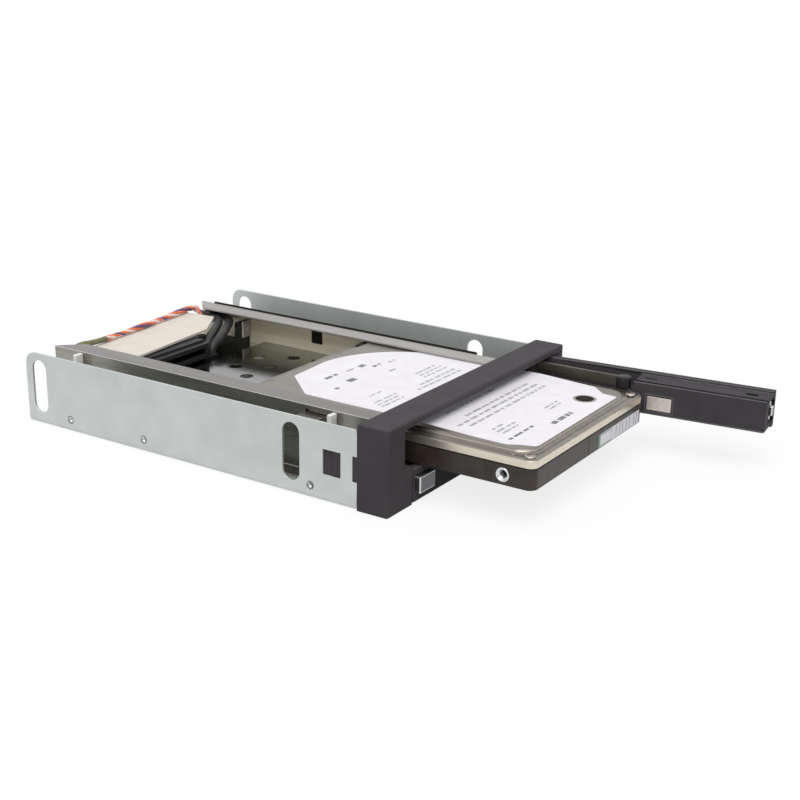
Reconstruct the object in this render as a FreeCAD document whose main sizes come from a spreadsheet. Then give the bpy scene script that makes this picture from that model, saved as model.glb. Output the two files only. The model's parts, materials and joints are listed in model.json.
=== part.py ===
import FreeCAD, Part
import math
import os
import re

import Sketcher
from FreeCAD import Placement, Rotation, Vector

# Two-bay rack for 2.5 inch drives that fits a 3.5 inch front bay.
# X runs across the rack, -Y is the front, +Z is up.
# The origin is the centre of the tray's underside.

doc = FreeCAD.newDocument("drive_backplane")
sheet = doc.addObject("Spreadsheet::Sheet", "dims")

# Driving dimensions in millimetres, angles in degrees
dimensions = {
    # folded tray
    "tray_length": 127.0,
    "wall_height": 23.3,
    "tray_sheet": 0.7,
    "tray_bend": 1.6,
    "rear_corner": 4.0,
    "front_corner": 1.2,
    "side_hole_front": 15.7,
    "side_hole_middle": 77.9,
    "side_hole_inset": 18.4,
    "side_hole_height": 4.0,
    "side_hole_radius": 1.25,
    "side_boss_radius": 2.1,
    "side_boss_length": 1.5,
    "front_slot": 22.3,
    "rear_slot_inset": 5.8,
    "slot_width": 5.9,
    "slot_low": 4.0,
    "slot_high": 21.1,
    "window_start": 5.4,
    "window_length": 6.0,
    "window_low": 8.2,
    "window_height": 7.4,
    "notch_depth": 1.5,
    # drive and its bays
    "drive_length": 100.2,
    "drive_width": 69.85,
    "side_channel": 15.875,
    "drive_height": 9.5,
    "drive_out": 45.2,
    "casting_height": 6.1,
    "drive_corner": 2.6,
    "drive_side_gap": 0.6,
    "bay_height": 9.6,
    "mid_sheet": 0.4,
    "drive_lift": 0.05,
    "drive_headroom": 0.25,
    # inner cage
    "cage_sheet": 0.6,
    "cage_front_gap": 1.5,
    "cage_overhang": 2.5,
    "rail_width": 7.2,
    "rail_chamfer": 7.0,
    "foot_width": 6.0,
    "foot_front": 6.0,
    "foot_rear": 3.0,
    "shelf_height": 19.0,
    "front_shelf": 20.7,
    "front_shelf_length": 7.7,
    "shelf_reach": 6.5,
    "rear_tab_inset": 10.0,
    "shelf_window": 0.8,
    "tab_reach": 3.0,
    "front_tab": 17.3,
    "tab_low": 9.0,
    "wall_window": 74.8,
    "wall_window_length": 4.7,
    "wall_window_low": 13.7,
    "wall_window_height": 5.8,
    "screw_radius": 1.2,
    "screw_head_radius": 2.2,
    "screw_head_height": 1.2,
    "front_screw": 14.0,
    "rear_screw_inset": 15.0,
    # plate between the bays
    "mid_front": 4.0,
    "mid_rear_inset": 27.0,
    "vent_radius": 2.2,
    "vent_pitch": 12.7,
    "vent_row_pitch": 10.0,
    "vent_margin": 10.5,
    # moulded bezel
    "bezel_depth": 10.0,
    "bezel_height": 25.0,
    "bezel_edge": 0.6,
    "near_stile": 8.5,
    "far_stile": 5.2,
    "far_chamfer": 2.5,
    "top_bar": 2.0,
    "post_width": 4.0,
    "post_low_top": 11.3,
    "post_setback": 4.0,
    "arm_thickness": 1.6,
    "arm_length": 13.0,
    "arm_margin": 0.8,
    "snap_gap": 0.05,
    "catch_gap": 0.2,
    "catch_share": 0.5,
    "lug_height": 1.0,
    "lug_relief": 9.0,
    # doors, measured from the hinge axis when closed
    "hinge_inset": 6.9,
    "hinge_setback": 4.1,
    "hinge_pin_radius": 0.8,
    "hinge_play": 0.06,
    "barrel_radius": 3.3,
    "door_tip_gap": 0.4,
    "door_skin": 2.3,
    "door_gap": 0.4,
    "door_split": 1.0,
    "lower_door_height": 10.0,
    "door_open_angle": 96.0,
    "block_start": 36.0,
    "block_inner": 5.0,
    "block_margin": 0.8,
    "block_tip_gap": 0.2,
    "door_slot_length": 3.7,
    "door_slot_width": 1.4,
    "door_slot_depth": 2.0,
    "inner_slot": 38.3,
    "outer_slot": 69.0,
    "plate_sheet": 0.8,
    "plate_height": 3.2,
    "plate_start": 4.0,
    "plate_reach": 34.0,
    "plate_offset": 1.2,
    "plate_angle": 4.5,
    "plate_drop": 0.2,
    "plate_pin_radius": 1.3,
    "plate_pin_inset": 1.2,
    "ear_height": 3.0,
    "pad_start": 40.6,
    "pad_length": 7.6,
    "pad_height": 4.3,
    "pad_low": 2.2,
    "pad_thickness": 0.8,
    "pad_proud": 0.2,
    "button_width": 7.9,
    "button_height": 4.9,
    "button_tip_gap": 1.2,
    "button_proud": 1.5,
    "button_play": 0.15,
    "button_flange": 0.6,
    "flange_thickness": 1.2,
    "button_travel": 1.2,
    "button_gap": 0.05,
    "spring_gap": 0.2,
    "pocket_depth": 5.3,
    "pocket_length": 12.4,
    "pocket_height": 7.1,
    "nose_reach": 0.8,
    "nose_height": 3.0,
    "nose_depth": 2.0,
    "spring_radius": 1.5,
    "spring_wire": 0.5,
    # board and its connectors
    "board_inset": 20.0,
    "board_thickness": 1.6,
    "board_low": 1.2,
    "board_top": 17.8,
    "board_side_gap": 0.2,
    "board_notch_gap": 1.5,
    "board_notch_inset": 6.5,
    "board_notch_low": 12.0,
    "board_tab_width": 4.4,
    "board_tab_low": 12.0,
    "board_screw_height": 14.9,
    "socket_inset": 4.525,
    "socket_width": 38.0,
    "socket_depth": 5.5,
    "socket_height": 5.2,
    "socket_low": 0.8,
    "socket_back_depth": 3.3,
    "socket_back_height": 6.0,
    "socket_slot_width": 34.2,
    "socket_slot_height": 2.0,
    "socket_slot_depth": 4.5,
    "port_width": 14.0,
    "port_height": 5.6,
    "port_depth": 8.5,
    "port_wall": 1.1,
    "power_width": 22.0,
    "power_gap": 3.0,
    "power_low": 0.6,
    "power_height": 9.6,
    "power_depth": 10.0,
    "header_width": 7.0,
    "header_height": 5.0,
    "header_depth": 3.4,
    "plug_gap": 0.1,
    "plug_top": 11.0,
    "strip_inset": 9.7,
    "strip_shift": 3.0,
    "strip_side_gap": 8.4,
    "strip_depth": 19.5,
    "strip_thickness": 0.9,
    "strip_skew": 5.6,
    "lead_line_gap": 4.4,
    # drive details
    "cover_rim": 2.5,
    "cover_margin": 3.4,
    "cover_slope": 0.7,
    "drive_hole_radius": 1.5,
    "drive_hole_ring": 2.3,
    "drive_hole_height": 3.0,
    "drive_hole_front": 9.4,
    "drive_hole_pitch": 76.6,
    "drive_hole_depth": 3.2,
    "drive_board_thickness": 0.8,
    "drive_board_margin": 3.0,
    "drive_board_recess": 1.0,
    "drive_board_length": 62.0,
    "plug_notch_depth": 7.0,
    "plug_notch_gap": 0.6,
    "plug_base": 2.6,
    "tongue_thickness": 1.2,
    "tongue_width": 33.4,
    "cover_screw_inset": 3.0,
    "cover_screw_radius": 1.6,
    "cover_screw_height": 0.5,
    # wires
    "bundle_radius": 1.2,
    "lead_radius": 1.5,
    "lead_spacing": 0.5,
    "lead_inset": 1.75,
    "joint_inset": 1.5,
    "joint_place": 0.898,
    "joint_depth": 0.595,
    "joint_width": 6.4,
    "joint_height": 4.4,
    "joint_length": 3.6,
}

for row, (alias, value) in enumerate(dimensions.items(), start=1):
    sheet.set(f"A{row}", alias)
    sheet.set(f"B{row}", str(value))
    sheet.setAlias(f"B{row}", alias)
doc.recompute()

# Sizes and places that follow from the driving dimensions, as formulas of their names
derived = {
    "tray_width": "(drive_width + 2 * side_channel)",
    "side_hole_rear": "(tray_length - side_hole_inset)",
    "rear_slot": "(tray_length - rear_slot_inset)",
    "rear_tab": "(tray_length - rear_tab_inset)",
    "rear_screw": "(tray_length - rear_screw_inset)",
    "mid_rear": "(tray_length - mid_rear_inset)",
    "vent_last_row": "(mid_rear - vent_margin)",
    "hinge_x": "(tray_width / 2 - far_stile - hinge_inset)",
    "door_reach": "(hinge_x + tray_width / 2 - near_stile - post_width - door_tip_gap)",
    "cage_inner": "(drive_width / 2 + drive_side_gap)",
    "board_front": "(tray_length - board_inset)",
    "socket_start": "(socket_inset - cage_inner)",
    "socket_end": "(socket_start + socket_width)",
    "board_notch_start": "(socket_end + board_notch_gap)",
    "board_notch_end": "(cage_inner - board_notch_inset)",
    "strip_centre": "(tray_length - strip_inset)",
    "strip_length": "(2 * cage_inner - strip_side_gap)",
    "joint_side": "(joint_place * cage_inner)",
    "joint_back": "(joint_depth * strip_depth)",
    "lead_line": "(socket_end + lead_line_gap)",
    "lead_start": "(socket_end + plug_gap + lead_inset)",
    "lead_end": "(joint_side - joint_width / 2 + joint_inset)",
    "lead_behind": "(header_depth + joint_back - joint_length)",
    "lead_angle": "(atan(0.505 * lead_behind / (0.44 * (lead_end - lead_start))))",
}
derivedPattern = re.compile(r"\b(" + "|".join(derived) + r")\b")
aliasPattern = re.compile(r"\b(" + "|".join(dimensions) + r")\b")
turns = {
    "x": Rotation(Vector(0, 1, 0), 90),
    "y": Rotation(Vector(1, 0, 0), -90),
    "z": Rotation(),
}
nodes = []

# How far joined solids sink into each other, and how far cutting tools run past a face
sink = "0.5"
past = "1"

# Places that several pieces share, as formulas of the sheet's names
front = "(-tray_length / 2)"
wallIn = "(tray_width / 2 - tray_sheet)"
wallOut = "(tray_width / 2)"
midLow = "(tray_sheet + bay_height)"
midTop = f"({midLow} + mid_sheet)"
driveLow = f"({midTop} + drive_lift)"
driveTop = f"({driveLow} + drive_height)"
driveFront = f"({front} - drive_out)"
driveRear = f"({driveFront} + drive_length)"
railLow = f"({driveTop} + drive_headroom)"
railTop = f"({railLow} + cage_sheet)"
cageIn = "cage_inner"
cageOut = f"({cageIn} + cage_sheet)"
cageFront = f"({front} + cage_front_gap)"
cageRear = "(tray_length / 2 + cage_overhang)"
bezelFront = f"({front} - bezel_depth)"
barLow = "(bezel_height - top_bar)"
hingeY = f"({front} - hinge_setback)"
skinIn = f"({bezelFront} + door_skin)"
blockIn = f"({hingeY} + block_inner)"
doorTip = "(hinge_x - door_reach)"
noseRadius = "(bezel_depth - hinge_setback)"
boardFront = f"({front} + board_front)"
boardRear = f"({boardFront} + board_thickness)"


def expand(formula):
    while derivedPattern.search(formula):
        formula = derivedPattern.sub(lambda found: derived[found.group(1)], formula)
    return formula


def bind(item, path, formula):
    item.setExpression(path, aliasPattern.sub(r"dims.\1", expand(formula)))


def value(formula):
    numbers = aliasPattern.sub(lambda found: str(sheet.get(found.group(1))), expand(formula))
    return float(FreeCAD.Units.Quantity(numbers).Value)


def block(name, x, y, z):
    item = doc.addObject("Part::Box", name)
    for size, axis, (low, high) in zip(("Length", "Width", "Height"), "xyz", (x, y, z)):
        bind(item, size, f"({high}) - ({low})")
        bind(item, f"Placement.Base.{axis}", low)
    return item


def rod(name, radius, x, y, z):
    # the one pair among x, y and z is the rod's run
    item = doc.addObject("Part::Cylinder", name)
    bind(item, "Radius", radius)
    for axis, place in zip("xyz", (x, y, z)):
        if isinstance(place, tuple):
            low, high = place
            item.Placement = Placement(Vector(), turns[axis])
            bind(item, "Height", f"({high}) - ({low})")
        else:
            low = place
        bind(item, f"Placement.Base.{axis}", low)
    return item


def join(name, items):
    item = doc.addObject("Part::MultiFuse", name)
    item.Shapes = items
    item.Refine = True
    return item


def cut(name, base, tools):
    item = doc.addObject("Part::Cut", name)
    item.Base = base
    item.Tool = tools[0] if len(tools) == 1 else join(f"{name}_tools", tools)
    item.Refine = True
    return item


def gather(name, items):
    item = doc.addObject("Part::Compound", name)
    item.Links = items
    return item


def node(item, label):
    item.Label = label
    nodes.append(item)
    return item


def span(side, inner, outer):
    return (inner, outer) if side > 0 else (f"-({outer})", f"-({inner})")


def middle(centre, size):
    return (f"{centre} - ({size}) / 2", f"{centre} + ({size}) / 2")


def uprightSlot(name, y, width, low, high, x):
    radius = f"({width}) / 2"
    return join(name, [
        block(f"{name}_run", x, middle(y, width), (f"{low} + {radius}", f"{high} - {radius}")),
        rod(f"{name}_foot", radius, x, y, f"{low} + {radius}"),
        rod(f"{name}_head", radius, x, y, f"{high} - {radius}"),
    ])


def turned(piece, angle, x, y):
    # a finished piece, turned about the upright line through x, y
    item = gather(f"{piece.Name}_turned", [piece])
    item.Placement = Placement(Vector(), Rotation(Vector(0, 0, 1), 1))
    bind(item, "Placement.Rotation.Angle", angle)
    bind(item, "Placement.Base.x", f"({x}) * (1 - cos({angle})) + ({y}) * sin({angle})")
    bind(item, "Placement.Base.y", f"({y}) * (1 - cos({angle})) - ({x}) * sin({angle})")
    return item


def swing(piece, angle):
    return turned(piece, angle, "hinge_x", hingeY)


def rectangle(body, name, role, width, height, place):
    # a rectangle centred on its own origin, which is set off from the plane by place
    sketch = body.newObject("Sketcher::SketchObject", name)
    plane = next(item for item in body.Origin.OriginFeatures if item.Role == role)
    sketch.AttachmentSupport = [(plane, "")]
    sketch.MapMode = "FlatFace"
    for axis, formula in zip("xyz", place):
        bind(sketch, f"AttachmentOffset.Base.{axis}", formula)
    corners = [Vector(-1, -1, 0), Vector(1, -1, 0), Vector(1, 1, 0), Vector(-1, 1, 0)]
    for index in range(4):
        sketch.addGeometry(Part.LineSegment(corners[index], corners[(index + 1) % 4]))
    for index in range(4):
        sketch.addConstraint(Sketcher.Constraint("Coincident", index, 2, (index + 1) % 4, 1))
    for index, way in enumerate(("Horizontal", "Vertical", "Horizontal", "Vertical")):
        sketch.addConstraint(Sketcher.Constraint(way, index))
    sketch.addConstraint(Sketcher.Constraint("Symmetric", 0, 1, 2, 1, -1, 1))
    across = sketch.addConstraint(Sketcher.Constraint("DistanceX", 0, 1, 0, 2, 2.0))
    along = sketch.addConstraint(Sketcher.Constraint("DistanceY", 1, 1, 1, 2, 2.0))
    bind(sketch, f"Constraints[{across}]", width)
    bind(sketch, f"Constraints[{along}]", height)
    return sketch


def pad(body, name, sketch, length):
    feature = body.newObject("PartDesign::Pad", name)
    feature.Profile = sketch
    bind(feature, "Length", length)
    doc.recompute()
    return feature


def pocket(body, name, sketch, length):
    feature = body.newObject("PartDesign::Pocket", name)
    feature.Profile = sketch
    feature.Reversed = True
    bind(feature, "Length", length)
    doc.recompute()
    return feature


def dress(body, kind, name, base, chosen, size, sizeName="Radius"):
    # a fillet or chamfer on the edges of base that the test chooses
    names = [f"Edge{index}" for index, edge in enumerate(base.Shape.Edges, start=1) if chosen(edge)]
    if not names:
        raise RuntimeError(f"{name} found no edge")
    feature = body.newObject(f"PartDesign::{kind}", name)
    feature.Base = (base, names)
    bind(feature, sizeName, size)
    doc.recompute()
    return feature


def runs(edge, axis):
    if not isinstance(edge.Curve, Part.Line):
        return False
    return abs(getattr(edge.Curve.Direction, axis)) > 0.999


def at(edge, axis, formula):
    return abs(getattr(edge.CenterOfMass, axis) - value(formula)) < 0.01


# Folded tray: a channel with bent lower edges, slotted walls and extruded side holes
def makeTray():
    body = doc.addObject("PartDesign::Body", "tray_fold")
    outside = rectangle(body, "tray_outside", "XZ_Plane", "tray_width", "wall_height",
                        ("0", "wall_height / 2", "-tray_length / 2"))
    solid = pad(body, "tray_block", outside, "tray_length")
    bent = dress(body, "Fillet", "tray_outer_bend", solid,
                 lambda edge: runs(edge, "y") and at(edge, "z", "0"), "tray_bend")
    inside = rectangle(body, "tray_inside", "XZ_Plane", "tray_width - 2 * tray_sheet", "wall_height",
                       ("0", "tray_sheet + wall_height / 2", "-tray_length / 2"))
    channel = pocket(body, "tray_channel", inside, "tray_length")
    folded = dress(body, "Fillet", "tray_inner_bend", channel,
                   lambda edge: runs(edge, "y") and at(edge, "z", "tray_sheet")
                   and abs(edge.CenterOfMass.x) > value(f"{wallIn} - tray_sheet"),
                   "tray_bend - tray_sheet")
    rounded = dress(body, "Fillet", "tray_rear_corners", folded,
                    lambda edge: runs(edge, "x") and at(edge, "z", "wall_height")
                    and edge.CenterOfMass.y > 0, "rear_corner")
    dress(body, "Fillet", "tray_front_corners", rounded,
          lambda edge: runs(edge, "x") and at(edge, "z", "wall_height")
          and edge.CenterOfMass.y < 0, "front_corner")

    across = ("-tray_width", "tray_width")
    holes = []
    bosses = []
    for place in ("front", "middle", "rear"):
        y = f"{front} + side_hole_{place}"
        holes.append(rod(f"tray_{place}_hole", "side_hole_radius", across, y, "side_hole_height"))
        for side in (-1, 1):
            run = span(side, f"{wallIn} - side_boss_length", f"{wallIn} + tray_sheet / 2")
            bosses.append(rod(f"tray_{place}_boss_{side + 2}", "side_boss_radius", run, y,
                              "side_hole_height"))
    openings = [
        uprightSlot("tray_front_slot", f"{front} + front_slot", "slot_width", "slot_low", "slot_high",
                    across),
        uprightSlot("tray_rear_slot", f"{front} + rear_slot", "slot_width", "slot_low", "slot_high", across),
        block("tray_window", across, (f"{front} + window_start", f"{front} + window_start + window_length"),
              ("window_low", "window_low + window_height")),
        block("tray_notch", across, (f"{front} - notch_depth", f"{front} + notch_depth"),
              ("window_low", "window_low + window_height")),
    ]
    screws = [rod(f"tray_screw_hole_{index}", "screw_radius", x, y, ("-tray_sheet", "2 * tray_sheet"))
              for index, (x, y) in enumerate(list(cageScrewPlaces(-1)) + list(cageScrewPlaces(1)))]
    node(cut("tray", join("tray_with_bosses", [body] + bosses), holes + openings + screws), "outer_tray")


def cageScrewPlaces(side):
    for place in ("front_screw", "rear_screw"):
        yield f"{side} * ({cageOut} + foot_width / 2)", f"{front} + {place}"


def boardScrewPlace(side):
    return f"{side} * ({cageIn} - board_tab_width / 2)", boardFront, "board_screw_height"


# Folded cage side: a wall with a rail over the drive, a foot and a board tab. The near one has a shelf and two
# upright tabs, the far one a window
def makeCageSide(side, mark):
    pierced = span(side, f"{cageIn} - {past}", f"{cageOut} + {past}")
    length = (cageFront, cageRear)
    sheets = [
        block(f"{mark}_wall", span(side, cageIn, cageOut), length, ("tray_sheet", railTop)),
        block(f"{mark}_rail", span(side, f"{cageOut} - rail_width", cageOut), length, (railLow, railTop)),
        block(f"{mark}_foot", span(side, cageIn, f"{cageOut} + foot_width"),
              (f"{front} + foot_front", "tray_length / 2 - foot_rear"),
              ("tray_sheet", "tray_sheet + cage_sheet")),
        block(f"{mark}_board_tab", span(side, f"{cageIn} - board_tab_width", cageOut),
              (f"{boardFront} - cage_sheet", boardFront), ("board_tab_low", "board_top")),
    ]
    windows = []
    if mark == "far":
        windows.append(block(f"{mark}_window", pierced,
                             (f"{front} + wall_window", f"{front} + wall_window + wall_window_length"),
                             ("wall_window_low", "wall_window_low + wall_window_height")))
    if mark == "near":
        run = (f"{front} + front_shelf", f"{front} + front_shelf + front_shelf_length")
        sheets.append(block(f"{mark}_shelf", span(side, cageIn, f"{cageOut} + shelf_reach"), run,
                            ("shelf_height - cage_sheet", "shelf_height")))
        windows.append(block(f"{mark}_shelf_window", pierced, run,
                             ("shelf_height", "shelf_height + shelf_window")))
        for place in ("front_tab", "rear_tab"):
            sheets.append(block(f"{mark}_{place}", span(side, cageIn, f"{cageOut} + tab_reach"),
                                (f"{front} + {place}", f"{front} + {place} + cage_sheet"), ("tab_low", railLow)))
    for index, (x, y) in enumerate(cageScrewPlaces(side)):
        windows.append(rod(f"{mark}_foot_hole_{index}", "screw_radius", x, y,
                           ("0", "tray_sheet + 2 * cage_sheet")))
    x, y, z = boardScrewPlace(side)
    windows.append(rod(f"{mark}_tab_hole", "screw_radius", x,
                       (f"{y} - 2 * cage_sheet", f"{y} + cage_sheet"), z))
    body = cut(f"{mark}_side_body", join(f"{mark}_side_sheets", sheets), windows)
    doc.recompute()
    trimmed = doc.addObject("Part::Chamfer", f"{mark}_side")
    trimmed.Base = body
    size = value("rail_chamfer")
    trimmed.Edges = [(index, size, size) for index, edge in enumerate(body.Shape.Edges, start=1)
                     if runs(edge, "z") and at(edge, "y", cageRear)
                     and abs(abs(edge.CenterOfMass.x) - value(f"{cageOut} - rail_width")) < 0.01]
    node(trimmed, f"{mark}_cage_side")


def makeCageScrews():
    top = "(tray_sheet + cage_sheet)"
    screws = []
    for x, y in list(cageScrewPlaces(-1)) + list(cageScrewPlaces(1)):
        name = f"cage_screw_{len(screws)}"
        head = rod(f"{name}_head", "screw_head_radius", x, y, (top, f"{top} + screw_head_height"))
        shank = rod(f"{name}_shank", "screw_radius", x, y, ("0", f"{top} + screw_head_height / 2"))
        screws.append(join(name, [head, shank]))
    node(gather("cage_screw_group", screws), "cage_screws")


# Perforated plate between the two bays, with staggered rows of round vents
def makeMidPlate():
    plate = block("mid_sheet_blank", (f"-{cageIn}", cageIn), (f"{front} + mid_front", f"{front} + mid_rear"),
                  (midLow, midTop))
    vents = []
    for row in range(7):
        steps = (-2, -1, 0, 1, 2) if row % 2 else (-1.5, -0.5, 0.5, 1.5)
        for step in steps:
            vents.append(rod(f"mid_vent_{len(vents)}", "vent_radius", f"{step} * vent_pitch",
                             f"{front} + vent_last_row - {row} * vent_row_pitch",
                             (f"{midLow} - {past}", f"{midTop} + {past}")))
    node(cut("mid_sheet_vented", plate, vents), "mid_plate")


# Moulded bezel: a frame open at the foot, with a latch post, a hinge lug and two snap arms
def makeBezel():
    body = doc.addObject("PartDesign::Body", "bezel_frame")
    outline = rectangle(body, "bezel_outline", "XZ_Plane", "tray_width", "bezel_height",
                        ("0", "bezel_height / 2", "tray_length / 2"))
    pad(body, "bezel_block", outline, "bezel_depth")
    left = "(-tray_width / 2 + near_stile)"
    right = "(tray_width / 2 - far_stile)"
    doorway = rectangle(body, "bezel_doorway", "XZ_Plane", f"{right} - {left}", barLow,
                        (f"({right} + {left}) / 2", f"{barLow} / 2", "tray_length / 2"))
    opened = pocket(body, "bezel_opening", doorway, "bezel_depth")
    chamfered = dress(body, "Chamfer", "bezel_far_edge", opened,
                      lambda edge: runs(edge, "z") and at(edge, "y", bezelFront) and at(edge, "x", right),
                      "far_chamfer", "Size")
    dress(body, "Fillet", "bezel_edges", chamfered,
          lambda edge: at(edge, "y", bezelFront) and (at(edge, "z", "bezel_height") or at(edge, "x", wallOut)
                                                      or at(edge, "x", f"-{wallOut}")), "bezel_edge")

    post = (left, f"{left} + post_width")
    pieces = [
        body,
        block("bezel_low_post", post, (bezelFront, front), ("0", "post_low_top")),
        block("bezel_high_post", post, (f"{bezelFront} + post_setback", front),
              ("post_low_top", f"{barLow} + {sink}")),
        rod("bezel_lug_eye", "barrel_radius", "hinge_x", hingeY, ("0", "lug_height")),
        block("bezel_lug_arm", ("hinge_x", f"{right} + {sink}"), middle(hingeY, "2 * barrel_radius"),
              ("0", "lug_height")),
    ]
    for side in (-1, 1):
        mark = "near" if side < 0 else "far"
        face = f"({wallIn} - snap_gap)"
        pieces.append(block(f"bezel_{mark}_arm", span(side, f"{face} - arm_thickness", face),
                            (f"{front} - {sink}", f"{front} + arm_length"),
                            ("window_low - arm_margin", "window_low + window_height + arm_margin")))
        pieces.append(block(f"bezel_{mark}_catch", span(side, f"{face} - {sink}", f"{wallOut} - catch_gap"),
                            (f"{front} + window_start + catch_gap",
                             f"{front} + window_start + catch_share * window_length"),
                            ("window_low + catch_gap", "window_low + window_height - catch_gap")))
        pieces.append(block(f"bezel_{mark}_key", span(side, f"{face} - {sink}", wallOut),
                            (f"{front} - {sink}", f"{front} + notch_depth - snap_gap"),
                            ("window_low + snap_gap", "window_low + window_height - snap_gap")))
    bores = [rod("bezel_pin_bore", "hinge_pin_radius", "hinge_x", hingeY,
                 (f"-{past}", "bezel_height - top_bar / 3"))]
    node(cut("bezel", join("bezel_pieces", pieces), bores), "front_bezel")
    node(rod("pin", "hinge_pin_radius", "hinge_x", hingeY, ("0", "bezel_height - top_bar / 3")), "hinge_pin")


# Door: a flush skin on a rounded hinge nose, with a thick inner block that carries the latch
def makeDoor(which, low, high, noseLow, angle):
    centre = f"({low} + {high}) / 2"
    blockLow = f"({low} + block_margin)"
    blockHigh = f"({high} - block_margin)"
    plateHigh = f"({high} - plate_drop)"
    plateLow = f"({plateHigh} - plate_height)"
    blockRun = (f"{doorTip} + block_tip_gap", "hinge_x - block_start")
    pinX = f"(hinge_x - (plate_reach - plate_pin_inset) * cos(plate_angle) + plate_offset * sin(plate_angle))"
    pinY = f"({hingeY} + (plate_reach - plate_pin_inset) * sin(plate_angle) + plate_offset * cos(plate_angle))"
    nose = doc.addObject("Part::Cylinder", f"{which}_nose")
    nose.Placement = Placement(Vector(), Rotation(Vector(0, 0, 1), -90))
    nose.Angle = 90
    bind(nose, "Radius", noseRadius)
    bind(nose, "Height", f"{high} - ({noseLow})")
    bind(nose, "Placement.Base.x", "hinge_x")
    bind(nose, "Placement.Base.y", hingeY)
    bind(nose, "Placement.Base.z", noseLow)
    solids = join(f"{which}_door_solids", [
        block(f"{which}_skin", (doorTip, "hinge_x"), (bezelFront, skinIn), (low, high)),
        nose,
        rod(f"{which}_barrel", "barrel_radius", "hinge_x", hingeY, (noseLow, high)),
        block(f"{which}_web", ("hinge_x - barrel_radius", "hinge_x"), (f"{skinIn} - {sink}", hingeY),
              (noseLow, high)),
        block(f"{which}_block", blockRun, (f"{skinIn} - {sink}", blockIn), (blockLow, blockHigh)),
        block(f"{which}_ear", (f"hinge_x - block_start - {sink}", f"{pinX} + plate_pin_radius"),
              (f"{pinY} - 2 * plate_pin_radius", f"{pinY} + plate_pin_radius"),
              (f"{plateLow} - ear_height", plateLow)),
    ])
    slots = []
    for place in ("inner_slot", "outer_slot"):
        slots.append(block(f"{which}_{place}", (f"hinge_x - {place} - door_slot_length",
                                                f"hinge_x - {place}"),
                           middle(hingeY, "door_slot_width"),
                           (f"{blockHigh} - door_slot_depth", f"{high} + {past}")))
    buttonRun = (f"{doorTip} + button_tip_gap", f"{doorTip} + button_tip_gap + button_width")
    play = "button_play"
    hollows = [
        block(f"{which}_lug_relief", ("hinge_x - lug_relief", "hinge_x + bezel_depth"),
              (f"{bezelFront} - {past}", f"{hingeY} + barrel_radius + {past}"), (f"{low} - {past}", noseLow)),
        rod(f"{which}_bore", "hinge_pin_radius + hinge_play", "hinge_x", hingeY,
            (f"{low} - {past}", f"{high} + {past}")),
        rod(f"{which}_pin_hole", "plate_pin_radius", pinX, pinY,
            (f"{plateLow} - ear_height / 2", f"{plateLow} + {past}")),
        block(f"{which}_button_window", (f"{buttonRun[0]} - {play}", f"{buttonRun[1]} + {play}"),
              (f"{bezelFront} - {past}", f"{skinIn} + {past}"),
              middle(centre, f"button_height + 2 * {play}")),
        block(f"{which}_pocket", (f"{doorTip} - {past}", f"{doorTip} + block_tip_gap + pocket_length"),
              (skinIn, f"{skinIn} + pocket_depth"), middle(centre, "pocket_height")),
        block(f"{which}_pad_recess", ("hinge_x - pad_start - pad_length", "hinge_x - pad_start"),
              (f"{blockIn} - pad_thickness", f"{blockIn} + {past}"),
              (f"{low} + pad_low", f"{low} + pad_low + pad_height")),
    ]
    node(swing(cut(f"{which}_door_moulding", solids, slots + hollows), angle), f"{which}_door")

    arm = block(f"{which}_arm", ("hinge_x - plate_reach", "hinge_x - plate_start"),
                middle(f"{hingeY} + plate_offset", "plate_sheet"), (plateLow, plateHigh))
    eye = rod(f"{which}_arm_eye", "plate_pin_radius + plate_sheet", "hinge_x - plate_reach + plate_pin_inset",
              f"{hingeY} + plate_offset", (plateLow, plateHigh))
    hole = rod(f"{which}_arm_hole", "plate_pin_radius", "hinge_x - plate_reach + plate_pin_inset",
               f"{hingeY} + plate_offset", (f"{plateLow} - {past}", f"{plateHigh} + {past}"))
    node(swing(cut(f"{which}_arm_plate", join(f"{which}_arm_blank", [arm, eye]), [hole]),
               f"{angle} - plate_angle"), f"{which}_push_plate")
    node(swing(rod(f"{which}_pin", "plate_pin_radius", pinX, pinY,
                   (f"{plateLow} - ear_height / 2", plateHigh)),
               angle), f"{which}_plate_pin")
    node(swing(block(f"{which}_pad", ("hinge_x - pad_start - pad_length", "hinge_x - pad_start"),
                     (f"{blockIn} - pad_thickness", f"{blockIn} + pad_proud"),
                     (f"{low} + pad_low", f"{low} + pad_low + pad_height")), angle), f"{which}_latch_plate")

    flangeRun = (f"{buttonRun[0]} - button_flange", f"{buttonRun[1]} + button_flange")
    button = join(f"{which}_button_solid", [
        block(f"{which}_button_cap", buttonRun, (f"{bezelFront} - button_proud", f"{skinIn} + {sink}"),
              middle(centre, "button_height")),
        block(f"{which}_button_flange", flangeRun,
              (f"{skinIn} + button_gap", f"{skinIn} + button_gap + flange_thickness"),
              middle(centre, "button_height + 2 * button_flange")),
        block(f"{which}_button_nose", (f"{flangeRun[0]} - nose_reach", f"{flangeRun[0]} + {past}"),
              (f"{skinIn} + button_gap", f"{skinIn} + button_gap + nose_depth"),
              middle(centre, "nose_height")),
    ])
    node(swing(button, angle), f"{which}_button")
    springFar = f"{skinIn} + pocket_depth"
    springNear = f"{skinIn} + button_gap + flange_thickness + button_travel + spring_gap"
    middleX = f"({buttonRun[0]} + {buttonRun[1]}) / 2"
    outside = rod(f"{which}_spring_outside", "spring_radius", middleX, (springNear, springFar), centre)
    inside = rod(f"{which}_spring_inside", "spring_radius - spring_wire", middleX,
                 (f"{springNear} - {past}", f"{springFar} + {past}"), centre)
    node(swing(cut(f"{which}_spring", outside, [inside]), angle), f"{which}_button_spring")


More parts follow.
